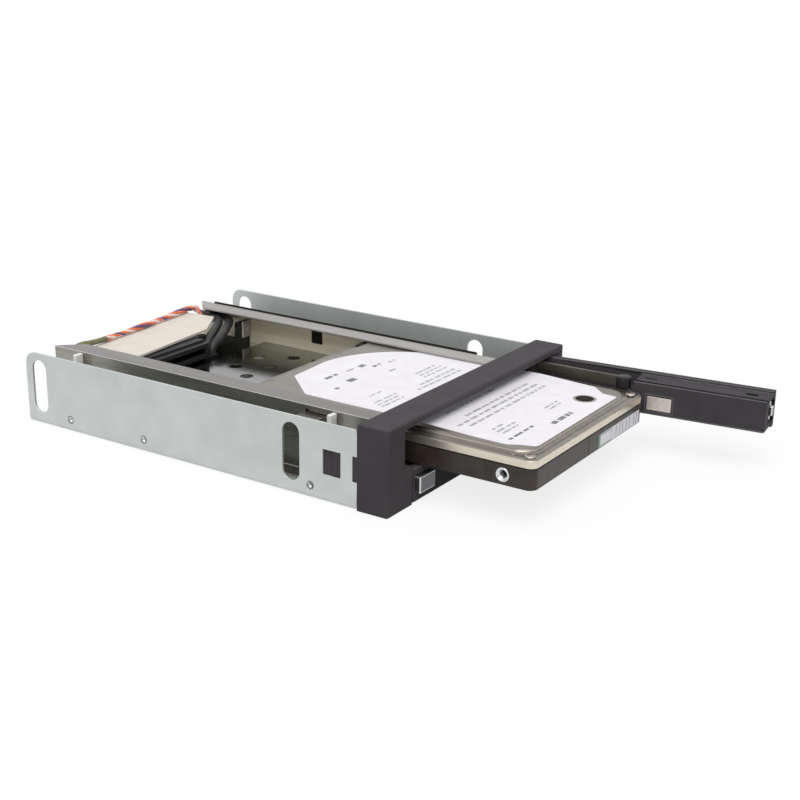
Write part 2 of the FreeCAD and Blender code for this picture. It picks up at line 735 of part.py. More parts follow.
# Backplane board, its screws, and the connectors on both faces
def makeBoard():
    blank = block("board_blank", (f"-{cageIn} + board_side_gap", f"{cageIn} - board_side_gap"),
                  (boardFront, boardRear),
                  ("board_low", "board_top"))
    cuts = [block("board_notch", ("board_notch_start", "board_notch_end"),
                  (f"{boardFront} - {past}", f"{boardRear} + {past}"),
                  ("board_notch_low", f"board_top + {past}"))]
    screws = []
    for index, (x, y, z) in enumerate((boardScrewPlace(-1), boardScrewPlace(1))):
        cuts.append(rod(f"board_hole_{index}", "screw_radius", x,
                        (f"{y} - {past}", f"{boardRear} + {past}"), z))
        head = rod(f"board_screw_head_{index}", "screw_head_radius", x,
                   (boardRear, f"{boardRear} + screw_head_height"), z)
        shank = rod(f"board_screw_shank_{index}", "screw_radius", x,
                    (f"{boardFront} - cage_sheet", f"{boardRear} + screw_head_height / 2"), z)
        screws.append(join(f"board_screw_{index}", [head, shank]))
    node(cut("board", blank, cuts), "backplane_board")
    node(gather("board_screw_group", screws), "board_screws")

    for which, bay in (("upper", driveLow), ("lower", "(tray_sheet + drive_lift)")):
        low = f"({bay} + socket_low)"
        across = ("socket_start", "socket_start + socket_width")
        housing = join(f"{which}_socket_housing", [
            block(f"{which}_socket_mouth", across, (f"{boardFront} - socket_depth", boardFront),
                  (low, f"{low} + socket_height")),
            block(f"{which}_socket_back", across, (f"{boardFront} - socket_back_depth", boardFront),
                  (low, f"{low} + socket_back_height")),
        ])
        slot = block(f"{which}_socket_slot", middle("socket_start + socket_width / 2", "socket_slot_width"),
                     (f"{boardFront} - socket_depth - {past}",
                      f"{boardFront} - socket_depth + socket_slot_depth"),
                     middle(f"{low} + socket_height / 2", "socket_slot_height"))
        node(cut(f"{which}_socket", housing, [slot]), f"{which}_drive_socket")
        shell = block(f"{which}_port_shell", middle("socket_start + socket_width / 2", "port_width"),
                      (boardRear, f"{boardRear} + port_depth"), (low, f"{low} + port_height"))
        mouth = block(f"{which}_port_mouth", middle("socket_start + socket_width / 2",
                                                    "port_width - 2 * port_wall"),
                      (f"{boardRear} + port_wall", f"{boardRear} + port_depth + {past}"),
                      (f"{low} + port_wall", f"{low} + port_height - port_wall"))
        node(cut(f"{which}_port", shell, [mouth]), f"{which}_data_port")

    powerStart = f"({cageIn} - power_gap - power_width)"
    powerLow = "(board_low + power_low)"
    shell = block("power_shell", (powerStart, f"{powerStart} + power_width"),
                  (boardRear, f"{boardRear} + power_depth"),
                  (powerLow, f"{powerLow} + power_height"))
    mouth = block("power_mouth", (f"{powerStart} + port_wall", f"{powerStart} + power_width - port_wall"),
                  (f"{boardRear} + port_wall", f"{boardRear} + power_depth + {past}"),
                  (f"{powerLow} + port_wall", f"{powerLow} + power_height - port_wall"))
    node(cut("power", shell, [mouth]), "power_port")


# Ivory insulating strip that lies askew on the board's top edge, cut back beside the black leads
def makeStrip():
    centre = f"{front} + strip_centre"
    low = "board_top"
    high = "board_top + strip_thickness"
    strip = block("strip_blank", middle("-strip_shift", "strip_length"), middle(centre, "strip_depth"),
                  (low, high))
    side = block("strip_side", ("lead_line - strip_depth", "lead_line + strip_length"),
                 (f"{front} + board_front - strip_length", f"{front} + board_front"),
                 (f"{low} - {past}", f"{high} + {past}"))
    node(cut("strip", turned(strip, "strip_skew", "0", centre),
             [turned(side, "lead_angle", "lead_line", f"{front} + board_front")]), "rear_strip")


# Drive: cast base, stamped cover with a raised middle, board underneath and plug at the rear
def makeDrive():
    middleY = f"({driveFront} + drive_length / 2)"
    body = doc.addObject("PartDesign::Body", "casting_body")
    outline = rectangle(body, "casting_outline", "XY_Plane", "drive_width", "drive_length",
                        ("0", middleY, driveLow))
    solid = pad(body, "casting_block", outline, "casting_height")
    dress(body, "Fillet", "casting_corners", solid, lambda edge: runs(edge, "z"), "drive_corner")
    socketMiddle = "(socket_start + socket_width / 2)"
    notchWidth = "(socket_width + 2 * plug_notch_gap)"
    plugLow = f"({driveLow} + plug_notch_gap)"
    cuts = [
        block("casting_plug_notch", middle(socketMiddle, notchWidth),
              (f"{driveRear} - plug_notch_depth", f"{driveRear} + {past}"),
              (f"{driveLow} - {past}", f"{driveLow} + casting_height + {past}")),
        block("casting_board_recess", middle("0", "drive_width - 2 * drive_board_margin"),
              (f"{driveRear} - drive_board_margin - drive_board_length - plug_notch_depth",
               f"{driveRear} - drive_board_margin - plug_notch_depth"),
              (f"{driveLow} - {past}", f"{driveLow} + drive_board_recess")),
    ]
    for index in range(2):
        y = f"{driveFront} + drive_hole_front + {index} * drive_hole_pitch"
        for side in (-1, 1):
            run = span(side, "drive_width / 2 - drive_hole_depth", f"drive_width / 2 + {past}")
            cuts.append(rod(f"casting_hole_{index}_{side + 2}", "drive_hole_radius", run, y,
                            f"{driveLow} + drive_hole_height"))
    node(cut("casting", body, cuts), "drive_casting")

    cover = doc.addObject("PartDesign::Body", "cover_body")
    coverLow = f"({driveLow} + casting_height)"
    rim = rectangle(cover, "cover_outline", "XY_Plane", "drive_width", "drive_length",
                    ("0", middleY, coverLow))
    plate = pad(cover, "cover_plate", rim, "cover_rim")
    cornered = dress(cover, "Fillet", "cover_corners", plate, lambda edge: runs(edge, "z"), "drive_corner")
    dress(cover, "Fillet", "cover_edge", cornered,
          lambda edge: at(edge, "z", f"{coverLow} + cover_rim"), "cover_slope / 2")
    raised = rectangle(cover, "cover_raised_outline", "XY_Plane", "drive_width - 2 * cover_margin",
                       "drive_length - 2 * cover_margin", ("0", middleY, f"{coverLow} + cover_rim"))
    crown = pad(cover, "cover_crown", raised, f"{driveTop} - {coverLow} - cover_rim")
    rounded = dress(cover, "Fillet", "cover_crown_corners", crown,
                    lambda edge: runs(edge, "z") and edge.CenterOfMass.z > value(f"{coverLow} + cover_rim")
                    and abs(edge.CenterOfMass.x) < value("drive_width / 2 - cover_margin + 0.1"),
                    "2 * drive_corner")
    dress(cover, "Chamfer", "cover_crown_slope", rounded,
          lambda edge: at(edge, "z", driveTop), "cover_slope", "Size")
    node(cover, "drive_cover")

    heads = []
    for x in ("-1", "1"):
        for y in (f"{driveFront} + cover_screw_inset", f"{driveRear} - cover_screw_inset"):
            place = f"{x} * (drive_width / 2 - cover_screw_inset)"
            heads.append(rod(f"cover_screw_{len(heads)}", "cover_screw_radius", place, y,
                             (f"{coverLow} + cover_rim", f"{coverLow} + cover_rim + cover_screw_height")))
    node(gather("cover_screw_group", heads), "drive_cover_screws")
    node(block("circuit", middle("0", "drive_width - 2 * drive_board_margin"),
               (f"{driveRear} - drive_board_margin - drive_board_length - plug_notch_depth",
                f"{driveRear} - drive_board_margin - plug_notch_depth"),
               (f"{driveLow} + drive_board_recess - drive_board_thickness",
                f"{driveLow} + drive_board_recess")),
         "drive_board")
    plugMiddle = f"({driveLow} + socket_low + socket_height / 2)"
    base = block("plug_base", middle(socketMiddle, notchWidth),
                 (f"{driveRear} - plug_notch_depth", f"{driveRear} - plug_notch_depth + plug_base"),
                 (plugLow, f"{driveLow} + casting_height"))
    tongue = block("plug_tongue", middle(socketMiddle, "tongue_width"),
                   (f"{driveRear} - plug_notch_depth + plug_base - {sink}", f"{driveRear} - drive_lift"),
                   middle(plugMiddle, "tongue_thickness"))
    node(join("plug", [base, tongue]), "drive_connector")


# Wires: straight runs joined by tangent arcs, swept with a round section
def tube(name, points, radius):
    edges = []
    last = points[0]
    bends = []
    for before, corner, after in zip(points, points[1:], points[2:]):
        into = (corner - before).normalize()
        out = (after - corner).normalize()
        turn = into.getAngle(out)
        reach = 0.45 * min((corner - before).Length, (after - corner).Length)
        bends.append(reach / math.tan(turn / 2))
        start = corner - into * reach
        end = corner + out * reach
        inward = (out - into).normalize()
        depth = bends[-1] * (1 / math.cos(turn / 2) - 1)
        edges.append(Part.LineSegment(last, start).toShape())
        edges.append(Part.Arc(start, corner + inward * depth, end).toShape())
        last = end
    edges.append(Part.LineSegment(last, points[-1]).toShape())
    path = Part.Wire(edges)
    section = Part.Wire(Part.makeCircle(radius, points[0], (points[1] - points[0]).normalize()))
    solid = path.makePipeShell([section], True, False)
    expected = math.pi * radius ** 2 * path.Length
    if abs(solid.Volume - expected) > 0.03 * expected:
        raise RuntimeError(f"{name} is not a plain tube")
    print(name, "bend radii", [round(bend, 1) for bend in bends], "length", round(path.Length, 1))
    return solid


def bundleRoute():
    # parts of the cage's half width, of the strip's depth and of the wires' height on the strip
    spots = [
        (-0.676, 0.0, 0.60),
        (-0.676, 0.256, 0.60),
        (-0.833, 0.544, 0.65),
        (-0.890, 0.800, 0.86),
        (-0.828, 0.800, 1.015),
        (-0.647, 0.728, 1.015),
        (-0.281, 0.708, 1.01),
        (0.113, 0.749, 1.005),
        (0.507, 0.821, 1.005),
        (0.805, 0.882, 1.005),
        (value("joint_place"), 0.882, 0.96),
        (value("joint_place"), 0.779, 0.885),
        (value("joint_place"), value("joint_depth"), 0.885),
    ]
    start = value(f"{boardRear} + header_depth")
    height = value("board_top + strip_thickness + bundle_radius")
    return [Vector(x * value(cageIn), start + y * value("strip_depth"), z * height) for x, y, z in spots]


def leadRoute(index, joint):
    # up from the plug, back through the board's notch and across to the joint, each lead beside the other:
    # parts of the way across, of the way back behind the board and of the climb
    plug = -value("board_thickness + header_depth / 2") / value("lead_behind")
    spots = [
        [(0.0, plug, 0.40), (0.264, -0.04, 0.70), (0.60, 0.235, 0.82), (1.0, 0.63, 1.0), (1.0, 1.0, 1.0)],
        [(0.0, plug, 0.36), (0.24, -0.272, 0.66), (0.56, -0.01, 0.82), (1.0, 0.46, 1.0), (1.0, 1.0, 1.0)],
    ]
    step = index * value("2 * lead_radius + lead_spacing")
    start = value("lead_start") + step
    across = value("lead_end") + step - start
    plugTop = value("plug_top")
    return [Vector(start + x * across, value(boardRear) + y * value("lead_behind"),
                   plugTop + z * (joint.z - plugTop)) for x, y, z in [(0.0, plug, 0.0)] + spots[index]]


def makeWires():
    # coloured wires: from the header on the back of the board, up and across the open rear of the cage
    route = bundleRoute()
    bundle = doc.addObject("Part::Feature", "bundle")
    bundle.Shape = tube("wire bundle", route, value("bundle_radius"))
    node(bundle, "wire_bundle")
    pair = doc.addObject("Part::Feature", "leads")
    pair.Shape = Part.makeCompound([tube(f"lead {index}", leadRoute(index, route[-1]), value("lead_radius"))
                                    for index in range(2)])
    node(pair, "black_leads")
    node(block("header", middle(f"{route[0].x}", "header_width"), (boardRear, f"{boardRear} + header_depth"),
               middle(f"{route[0].z}", "header_height")), "wire_header")
    node(block("joint", middle(f"{route[-1].x}", "joint_width"),
               (f"{route[-1].y} - joint_length", f"{route[-1].y}"), middle(f"{route[-1].z}", "joint_height")),
         "lead_joint")
    node(block("lead_block", ("socket_end + plug_gap", "socket_end + plug_gap + header_width"),
               (f"{boardFront} - header_depth", boardFront), ("plug_top - header_height", "plug_top")),
               "lead_plug")


lowerLow = "door_gap"
lowerHigh = "(door_gap + lower_door_height)"
upperLow = f"({lowerHigh} + door_split)"
upperHigh = f"({barLow} - door_gap)"

makeTray()
makeCageSide(-1, "near")
makeCageSide(1, "far")
makeCageScrews()
makeMidPlate()
makeBezel()
makeDoor("lower", lowerLow, lowerHigh, "lug_height + door_gap", "0")
makeDoor("upper", upperLow, upperHigh, upperLow, "door_open_angle")
makeBoard()
makeStrip()
makeDrive()
makeWires()
doc.recompute()

failed = [item.Name for item in doc.Objects if "Invalid" in item.State or "Error" in item.State]
if failed:
    raise RuntimeError(f"failed objects: {failed}")
for item in nodes:
    if item.Shape.isNull() or not item.Shape.isValid():
        raise RuntimeError(f"bad shape: {item.Label}")

os.makedirs("parts", exist_ok=True)
for item in nodes:
    item.Shape.exportStep(f"parts/{item.Label}.step")
    print(item.Label, len(item.Shape.Solids), "solids", round(item.Shape.Volume, 1), "mm3")
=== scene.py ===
import json
import math
import random

import bmesh
import bpy
from mathutils import Matrix, Vector

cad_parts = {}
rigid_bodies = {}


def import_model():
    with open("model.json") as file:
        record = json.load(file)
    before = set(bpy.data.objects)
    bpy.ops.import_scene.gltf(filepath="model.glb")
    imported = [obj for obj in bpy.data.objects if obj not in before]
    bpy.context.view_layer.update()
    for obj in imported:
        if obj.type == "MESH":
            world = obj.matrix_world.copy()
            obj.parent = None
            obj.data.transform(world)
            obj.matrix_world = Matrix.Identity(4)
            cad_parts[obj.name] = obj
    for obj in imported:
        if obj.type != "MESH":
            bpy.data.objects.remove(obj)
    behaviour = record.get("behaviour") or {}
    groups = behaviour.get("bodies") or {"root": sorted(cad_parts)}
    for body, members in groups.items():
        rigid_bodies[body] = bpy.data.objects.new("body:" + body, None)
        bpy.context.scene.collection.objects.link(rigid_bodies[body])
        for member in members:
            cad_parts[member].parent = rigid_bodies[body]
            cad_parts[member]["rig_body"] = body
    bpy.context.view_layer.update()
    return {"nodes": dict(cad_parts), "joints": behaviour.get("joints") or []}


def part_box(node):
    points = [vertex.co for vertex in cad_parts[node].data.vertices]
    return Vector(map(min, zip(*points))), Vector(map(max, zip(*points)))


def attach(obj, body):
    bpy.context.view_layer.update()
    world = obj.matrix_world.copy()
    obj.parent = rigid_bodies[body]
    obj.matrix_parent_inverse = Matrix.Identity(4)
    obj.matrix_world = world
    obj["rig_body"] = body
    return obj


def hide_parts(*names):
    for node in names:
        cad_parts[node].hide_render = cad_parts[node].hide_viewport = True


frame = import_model()
nodes = frame["nodes"]
mm = 0.001
mergeWithin = 0.001  # mm: points of a made shape closer than this are one
smoothUpTo = {"flat": 32, "turned": 35, "wire": 60}  # degrees between faces that still shade as one


def place(points):
    return [Vector(point) * mm for point in points]


def addObject(name, data):
    piece = bpy.data.objects.new(name, data)
    bpy.context.scene.collection.objects.link(piece)
    return piece


def smoothShade(mesh, kind="flat"):
    mesh.polygons.foreach_set("use_smooth", [True] * len(mesh.polygons))
    mesh.set_sharp_from_angle(angle=math.radians(smoothUpTo[kind]))


def meshFrom(bm, name, kind="flat"):
    mesh = bpy.data.meshes.new(name)
    bm.to_mesh(mesh)
    bm.free()
    smoothShade(mesh, kind)
    return mesh


# the mesh that an object's modifiers or its curve give
def bakedMesh(piece):
    bpy.context.view_layer.update()
    return bpy.data.meshes.new_from_object(piece.evaluated_get(bpy.context.evaluated_depsgraph_get()))


def finishPiece(piece, body, slot, *finishNames):
    for finish in finishNames:
        piece.data.materials.append(finishes[finish])
    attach(piece, body)
    return piece


def addPiece(name, bm, body, slot, finish, kind="flat"):
    return finishPiece(addObject(name, meshFrom(bm, name, kind)), body, slot, finish)


def addBox(bm, low, high, rounding=0.0):
    low, high = Vector(low), Vector(high)
    made = bmesh.ops.create_cube(bm, size=1.0)["verts"]
    bmesh.ops.scale(bm, verts=made, vec=(high - low) * mm)
    bmesh.ops.translate(bm, verts=made, vec=(high + low) / 2 * mm)
    if rounding:
        edges = list(dict.fromkeys(edge for vert in made for edge in vert.link_edges))
        bmesh.ops.bevel(bm, geom=edges, offset=rounding * mm, affect="EDGES", segments=3, profile=0.5,
                        material=-1)


# one piece of boxes, each given by its low and high corners
def addBoxes(name, boxes, body, slot, finish, rounding=0.0):
    bm = bmesh.new()
    for low, high in boxes:
        addBox(bm, low, high, rounding)
    addPiece(name, bm, body, slot, finish)


upwards = (0, 0, 1)


# turned shape: (radius, height) spots about an axis; a ring's outline is closed
def spinShape(bm, outline, centre, axis=upwards, ring=False, steps=32):
    axis = Vector(axis).normalized()
    side = axis.orthogonal().normalized()
    middle = Vector(centre) * mm
    spots = [bm.verts.new(middle + (side * radius + axis * height) * mm) for radius, height in outline]
    pairs = list(zip(spots, spots[1:])) + ([(spots[-1], spots[0])] if ring else [])
    edges = [bm.edges.new(pair) for pair in pairs]
    bmesh.ops.spin(bm, geom=spots + edges, cent=middle, axis=axis, angle=2 * math.pi, steps=steps,
                   use_merge=True)


def closeShapes(bm):
    bmesh.ops.remove_doubles(bm, verts=bm.verts, dist=mergeWithin * mm)
    bmesh.ops.recalc_face_normals(bm, faces=bm.faces)


# one piece of turned shapes, each an outline, the middle it stands on and its axis
def addTurned(name, shapes, body, slot, finish, ring=False, steps=32):
    bm = bmesh.new()
    for outline, centre, axis in shapes:
        spinShape(bm, outline, centre, axis, ring, steps)
    closeShapes(bm)
    addPiece(name, bm, body, slot, finish, "turned")


# middles of equal parts side by side
def spacedRow(middle, count, pitch):
    return [middle + (number - (count - 1) / 2) * pitch for number in range(count)]


def carve(piece, bm, inside=None, crossing=False):
    tool = addObject("carvingTool", meshFrom(bm, "carvingTool"))
    cut = piece.modifiers.new("recess", "BOOLEAN")
    if inside:  # the cut faces take a finish of their own
        tool.data.materials.append(inside)
        cut.material_mode = "TRANSFER"
    cut.operation = "DIFFERENCE"
    cut.solver = "EXACT"
    cut.use_self = crossing  # where the tool's own shapes cross
    cut.object = tool
    made = bakedMesh(piece)
    piece.modifiers.clear()
    piece.data = made
    bpy.data.objects.remove(tool)
    smoothShade(made, "turned")


# camera solved from the photograph's straight edges; the picture is square
photoCamera = {
    "place": (-331.96, -258.82, 146.97),
    "right": (0.54726, -0.83682, 0.01533),
    "up": (0.25848, 0.18640, 0.94786),
    "back": (-0.79605, -0.51477, 0.31831),
    "lens": 61.48,
    "sensor": 36.0,
    "nearest": 0.01,
}


def makeCamera():
    lens = bpy.data.cameras.new("photoLens")
    lens.lens = photoCamera["lens"]
    lens.sensor_width = photoCamera["sensor"]
    lens.clip_start = photoCamera["nearest"]
    camera = addObject("photoView", lens)
    turn = Matrix([photoCamera[axis] for axis in ("right", "up", "back")]).transposed()
    camera.matrix_world = Matrix.Translation(Vector(photoCamera["place"]) * mm) @ turn.to_4x4()
    bpy.context.scene.camera = camera


makeCamera()
print("camera set")


# an sRGB hex colour as Blender's linear one
def linear(hexColour):
    parts = [int(hexColour[i:i + 2], 16) / 255 for i in (0, 2, 4)]
    return [c / 12.92 if c <= 0.04045 else ((c + 0.055) / 1.055) ** 2.4 for c in parts] + [1.0]


def addNode(tree, kind, settings=None, links=None):
    made = tree.nodes.new(kind)
    for name, value in (settings or {}).items():
        if isinstance(name, str) and hasattr(made, name):
            setattr(made, name, value)
        else:
            made.inputs[name].default_value = value
    for name, socket in (links or {}).items():
        tree.links.new(socket, made.inputs[name])
    return made


def emptyTree(owner):
    owner.use_nodes = True
    owner.node_tree.nodes.clear()
    return owner.node_tree


noiseSpan = {"From Min": 0.3, "From Max": 0.7}  # most of a noise pattern lies between these
mixColour = {"data_type": "RGBA"}  # its sockets 6 and 7 are the two colours, its output 2 their mix
grainDetail = 3.0
grainRelief = 0.3
faceTurn = (0.25, 0.75)  # how squarely a face looks one way, where its second tone comes in


# one surface: a two-tone pattern for colour, a finer grain for gloss and relief
def makeSurface(name, look):
    material = bpy.data.materials.new(name)
    tree = emptyTree(material)
    shader = addNode(tree, "ShaderNodeBsdfPrincipled")
    addNode(tree, "ShaderNodeOutputMaterial", None, {"Surface": shader.outputs["BSDF"]})
    coords = addNode(tree, "ShaderNodeTexCoord").outputs["Object"]
    stretch = {"Scale": look.get("stretch", (1, 1, 1))}
    laid = addNode(tree, "ShaderNodeMapping", stretch, {"Vector": coords}).outputs[0]
    kind = look.get("pattern", "ShaderNodeTexNoise")
    patch = addNode(tree, kind, {"Scale": 1 / (look["patch"] * mm)}, {"Vector": laid})
    share = patch.outputs["Color" if kind == "ShaderNodeTexVoronoi" else "Fac"]
    spread = addNode(tree, "ShaderNodeMapRange", noiseSpan, {"Value": share}).outputs[0]
    dark, light = [linear(tone) for tone in look["tones"]]
    colour = addNode(tree, "ShaderNodeMix", {**mixColour, 6: dark, 7: light}, {0: spread}).outputs[2]
    # painted light: upright faces, or those turned one way, take their own tone for how light falls on them
    if "sides" in look:  # upright faces, or those turned one way, have a tone of their own
        dark, light = [linear(tone) for tone in look["sides"]]
        paintedLightTone = addNode(tree, "ShaderNodeMix", {**mixColour, 6: dark, 7: light}, {0: spread}).outputs[2]
        facing = addNode(tree, "ShaderNodeNewGeometry").outputs["Normal"]
        towards = {"operation": "DOT_PRODUCT", 1: look.get("turned", (0, 0, 1))}
        turned = addNode(tree, "ShaderNodeVectorMath", towards, {0: facing}).outputs["Value"]
        start, end = faceTurn if "turned" in look else faceTurn[::-1]
        limits = {"From Min": start, "From Max": end}
        upright = addNode(tree, "ShaderNodeMapRange", limits, {"Value": turned}).outputs[0]
        if "sidesBelow" in look:
            level = addNode(tree, "ShaderNodeSeparateXYZ", None, {0: coords}).outputs["Z"]
            below = {"operation": "LESS_THAN", 1: look["sidesBelow"] * mm}
            under = addNode(tree, "ShaderNodeMath", below, {0: level}).outputs[0]
            both = {0: upright, 1: under}
            upright = addNode(tree, "ShaderNodeMath", {"operation": "MULTIPLY"}, both).outputs[0]
        parts = {0: upright, 6: colour, 7: paintedLightTone}
        colour = addNode(tree, "ShaderNodeMix", mixColour, parts).outputs[2]
    tree.links.new(colour, shader.inputs["Base Color"])
    fine = {"Scale": 1 / (look["grain"] * mm), "Detail": grainDetail}
    grain = addNode(tree, "ShaderNodeTexNoise", fine, {"Vector": laid}).outputs["Fac"]
    smooth, rough = look["roughness"]
    span = {**noiseSpan, "To Min": smooth, "To Max": rough}
    gloss = addNode(tree, "ShaderNodeMapRange", span, {"Value": grain}).outputs[0]
    tree.links.new(gloss, shader.inputs["Roughness"])
    height = {"Strength": grainRelief, "Distance": look["depth"] * mm}
    relief = addNode(tree, "ShaderNodeBump", height, {"Height": grain}).outputs[0]
    tree.links.new(relief, shader.inputs["Normal"])
    for key, socket in (("metallic", "Metallic"), ("ior", "IOR"), ("specular", "Specular IOR Level")):
        if key in look:
            shader.inputs[socket].default_value = look[key]
    return material


# soft PVC insulation, bright metal and thermal ink: what all their kinds share
softPvc = {"patch": 2.0, "grain": 0.3, "depth": 0.008, "roughness": (0.32, 0.45), "ior": 1.54}
brightMetal = {"patch": 0.8, "grain": 0.2, "depth": 0.004, "roughness": (0.18, 0.3), "metallic": 1.0}
thermalInk = {"patch": 0.9, "grain": 0.2, "depth": 0.002, "roughness": (0.42, 0.55), "ior": 1.5}
looks = {
    # hot-dip galvanised sheet with the spangle rolled flat: even grey-green, satin
    "galvanisedSteel": {"tones": ("C5CAC8", "CED3D1"), "patch": 9.0, "grain": 0.5, "depth": 0.006,
                        "roughness": (0.4, 0.48), "metallic": 0.62},
    # bright rolled cage sheet: mirrors its neighbours softly, streaked along the drive's path;
    # its upright faces are painted paler as painted light
    "rolledCageSteel": {"tones": ("75726F", "817E7C"), "patch": 2.0, "stretch": (1, 0.06, 1), "grain": 1.6,
                        "depth": 0.008, "roughness": (0.24, 0.34), "metallic": 0.85,
                        "sides": ("8C8B83", "9E9D96")},
    # the same sheet in a paler tone along its long folds and edges: a painted highlight
    "rubbedSteel": {"tones": ("D6D4D0", "E6E4E0"), "patch": 2.0, "stretch": (1, 0.06, 1), "grain": 1.6,
                    "depth": 0.004, "roughness": (0.2, 0.28), "metallic": 0.8},
    # the far side of the cage: grey on top and dull, in long streaks; below the rail its inward face
    # is painted pale olive as painted light
    "oiledCageSteel": {"tones": ("94928F", "A5A3A0"), "patch": 3.0, "stretch": (1, 0.05, 1), "grain": 1.2,
                       "depth": 0.01, "roughness": (0.36, 0.5), "metallic": 0.25,
                       "sides": ("C9C0A5", "EEE7D0"), "turned": (-1, 0, 0), "sidesBelow": 20.3},
    # perforated shelf: rolled nearly to a mirror, so it shows the walls and the sky
    "rolledShelfSteel": {"tones": ("868786", "929392"), "patch": 2.5, "stretch": (1, 0.1, 1), "grain": 2.0,
                         "depth": 0.002, "roughness": (0.1, 0.16), "metallic": 1.0},
    # charcoal ABS moulding: fine spark-eroded grain that holds its gloss down
    "charcoalAbs": {"tones": ("484548", "4D4A4D"), "patch": 6.0, "grain": 0.25, "depth": 0.012,
                    "roughness": (0.5, 0.6), "ior": 1.53, "specular": 0.03},
    # the moulding in a paler tone along its long edges and on the doors' trim: a painted highlight
    "rubbedAbs": {"tones": ("5A575B", "646165"), "patch": 3.0, "grain": 0.25, "depth": 0.006,
                  "roughness": (0.36, 0.46), "ior": 1.53, "specular": 0.1},
    # ABS under silver lacquer, its tone darkened as painted shade: fine metal flake,
    # drawn coarser than the real 0.03 mm so that it shows
    "silverLacquer": {"tones": ("5A5B5D", "6E6F71"), "patch": 0.25, "grain": 0.3, "depth": 0.004,
                      "roughness": (0.25, 0.36), "metallic": 0.75},
    # the lacquer in a pale tone along the buttons' rounded edges: a painted highlight
    "rubbedLacquer": {"tones": ("CACBCD", "DCDDDF"), "patch": 0.25, "grain": 0.3, "depth": 0.004,
                      "roughness": (0.2, 0.3), "metallic": 0.75},
    # plain cold-rolled strip with an oily olive cast, streaked along its length
    "stripSteel": {"tones": ("58574D", "6E6C61"), "patch": 1.5, "stretch": (1, 0.12, 1), "grain": 0.4,
                   "depth": 0.008, "roughness": (0.3, 0.45), "metallic": 0.9},
    # plated steel pad: satin, slightly pink
    "platedPad": {"tones": ("CFC2BB", "DDD2CB"), "patch": 1.2, "grain": 0.3, "depth": 0.004,
                  "roughness": (0.34, 0.46), "metallic": 0.6},
    # zinc-plated screws: bright with a slight blue
    "zincPlate": {**brightMetal, "tones": ("B4B6B8", "D0D2D4")},
    # nickel-plated cover screws: dull and warm
    "nickelPlate": {**brightMetal, "tones": ("9C978D", "B4AFA5"), "roughness": (0.26, 0.36)},
    # bare machined aluminium: bright rings of the cutter
    "machinedAluminium": {**brightMetal, "tones": ("C9CACB", "E3E4E5"), "patch": 0.5,
                          "roughness": (0.18, 0.28)},
    # stamped stainless cover, fine-brushed: warm grey on top, its drawn sides painted paler as painted light
    "stampedCover": {"tones": ("7E7971", "8E8982"), "patch": 1.2, "stretch": (1, 0.05, 1), "grain": 0.3,
                     "depth": 0.004, "roughness": (0.28, 0.38), "metallic": 0.9,
                     "sides": ("D3CBBA", "E0D8C8")},
    # die casting under dark brown-black electrocoat: slight orange peel
    "coatedCasting": {"tones": ("302924", "3C352F"), "patch": 4.0, "grain": 0.7, "depth": 0.02,
                      "roughness": (0.3, 0.42), "ior": 1.5, "specular": 0.35},
    # tan chip ceramic: sintered, matt and slightly speckled
    "tanCeramic": {"tones": ("86684A", "A2825E"), "patch": 0.6, "grain": 0.2, "depth": 0.004,
                   "roughness": (0.35, 0.5), "ior": 1.6},
    # glass-fibre board under black solder mask, a shade of green in it
    "solderMask": {"tones": ("0E1210", "1A211C"), "pattern": "ShaderNodeTexVoronoi", "patch": 2.2,
                   "grain": 0.3, "depth": 0.02, "roughness": (0.25, 0.4), "ior": 1.55, "specular": 0.35},
    # black glass-filled nylon: dull, faint fibre streaks;
    # it also lines the doors' groove and slots as painted shade
    "blackNylon": {"tones": ("121113", "1B191B"), "patch": 1.0, "stretch": (0.2, 1, 1), "grain": 0.3,
                   "depth": 0.01, "roughness": (0.38, 0.52), "ior": 1.53, "specular": 0.3},
    # ivory fishpaper: warm, slightly mottled sheet
    "ivorySheet": {"tones": ("DAD3C8", "E1DACF"), "patch": 6.0, "grain": 0.35, "depth": 0.01,
                   "roughness": (0.5, 0.62), "ior": 1.5},
    # pale caps standing in for the bright faces of the cage's tabs, a painted highlight: milky white, waxy
    "highlightWhite": {"tones": ("E2E0DA", "ECEAE5"), "patch": 1.5, "grain": 0.3, "depth": 0.006,
                   "roughness": (0.36, 0.48), "ior": 1.53},
    # closed-cell black foam: fine pitted skin; it also serves as painted shade in gaps and holes
    "foamAndPaintedShade": {"tones": ("151412", "211F1C"), "patch": 0.5, "grain": 0.25, "depth": 0.05,
                  "roughness": (0.7, 0.85), "ior": 1.45, "specular": 0.2},
    # coated label paper: near white with a faint sheen
    "labelPaper": {"tones": ("E9E6ED", "F0EEF3"), "patch": 5.0, "grain": 0.2, "depth": 0.003,
                   "roughness": (0.42, 0.55), "ior": 1.5},
    # grey, dark and teal thermal print: flat and a little uneven
    "greyPrint": {**thermalInk, "tones": ("9A979C", "C4C1C6")},
    "darkPrint": {**thermalInk, "tones": ("5E5B5F", "86838A")},
    "tealPrint": {**thermalInk, "tones": ("5E8579", "86A99D"), "patch": 1.1},
    # gold-flashed contact strips: bright and thinly plated
    "goldFlash": {"tones": ("B98F3E", "D9B25C"), "patch": 0.6, "grain": 0.15, "depth": 0.003,
                  "roughness": (0.2, 0.32), "metallic": 1.0},
    # PVC in the bundle's colours, its olive sleeve, and the black leads: waxy, with a soft gleam
    "olivePvc": {**softPvc, "tones": ("5A5A3C", "74744C")},
    "violetPvc": {**softPvc, "tones": ("453A68", "5A4C80")},
    "orangePvc": {**softPvc, "tones": ("D9613A", "EE7F4E")},
    "palePvc": {**softPvc, "tones": ("E6D2CA", "F0E4DD")},
    "blackPvc": {**softPvc, "tones": ("2A2929", "373535"), "depth": 0.01, "roughness": (0.36, 0.5),
                 "specular": 0.3},
}
finishes = {name: makeSurface(name, look) for name, look in looks.items()}
print("materials made:", len(finishes))


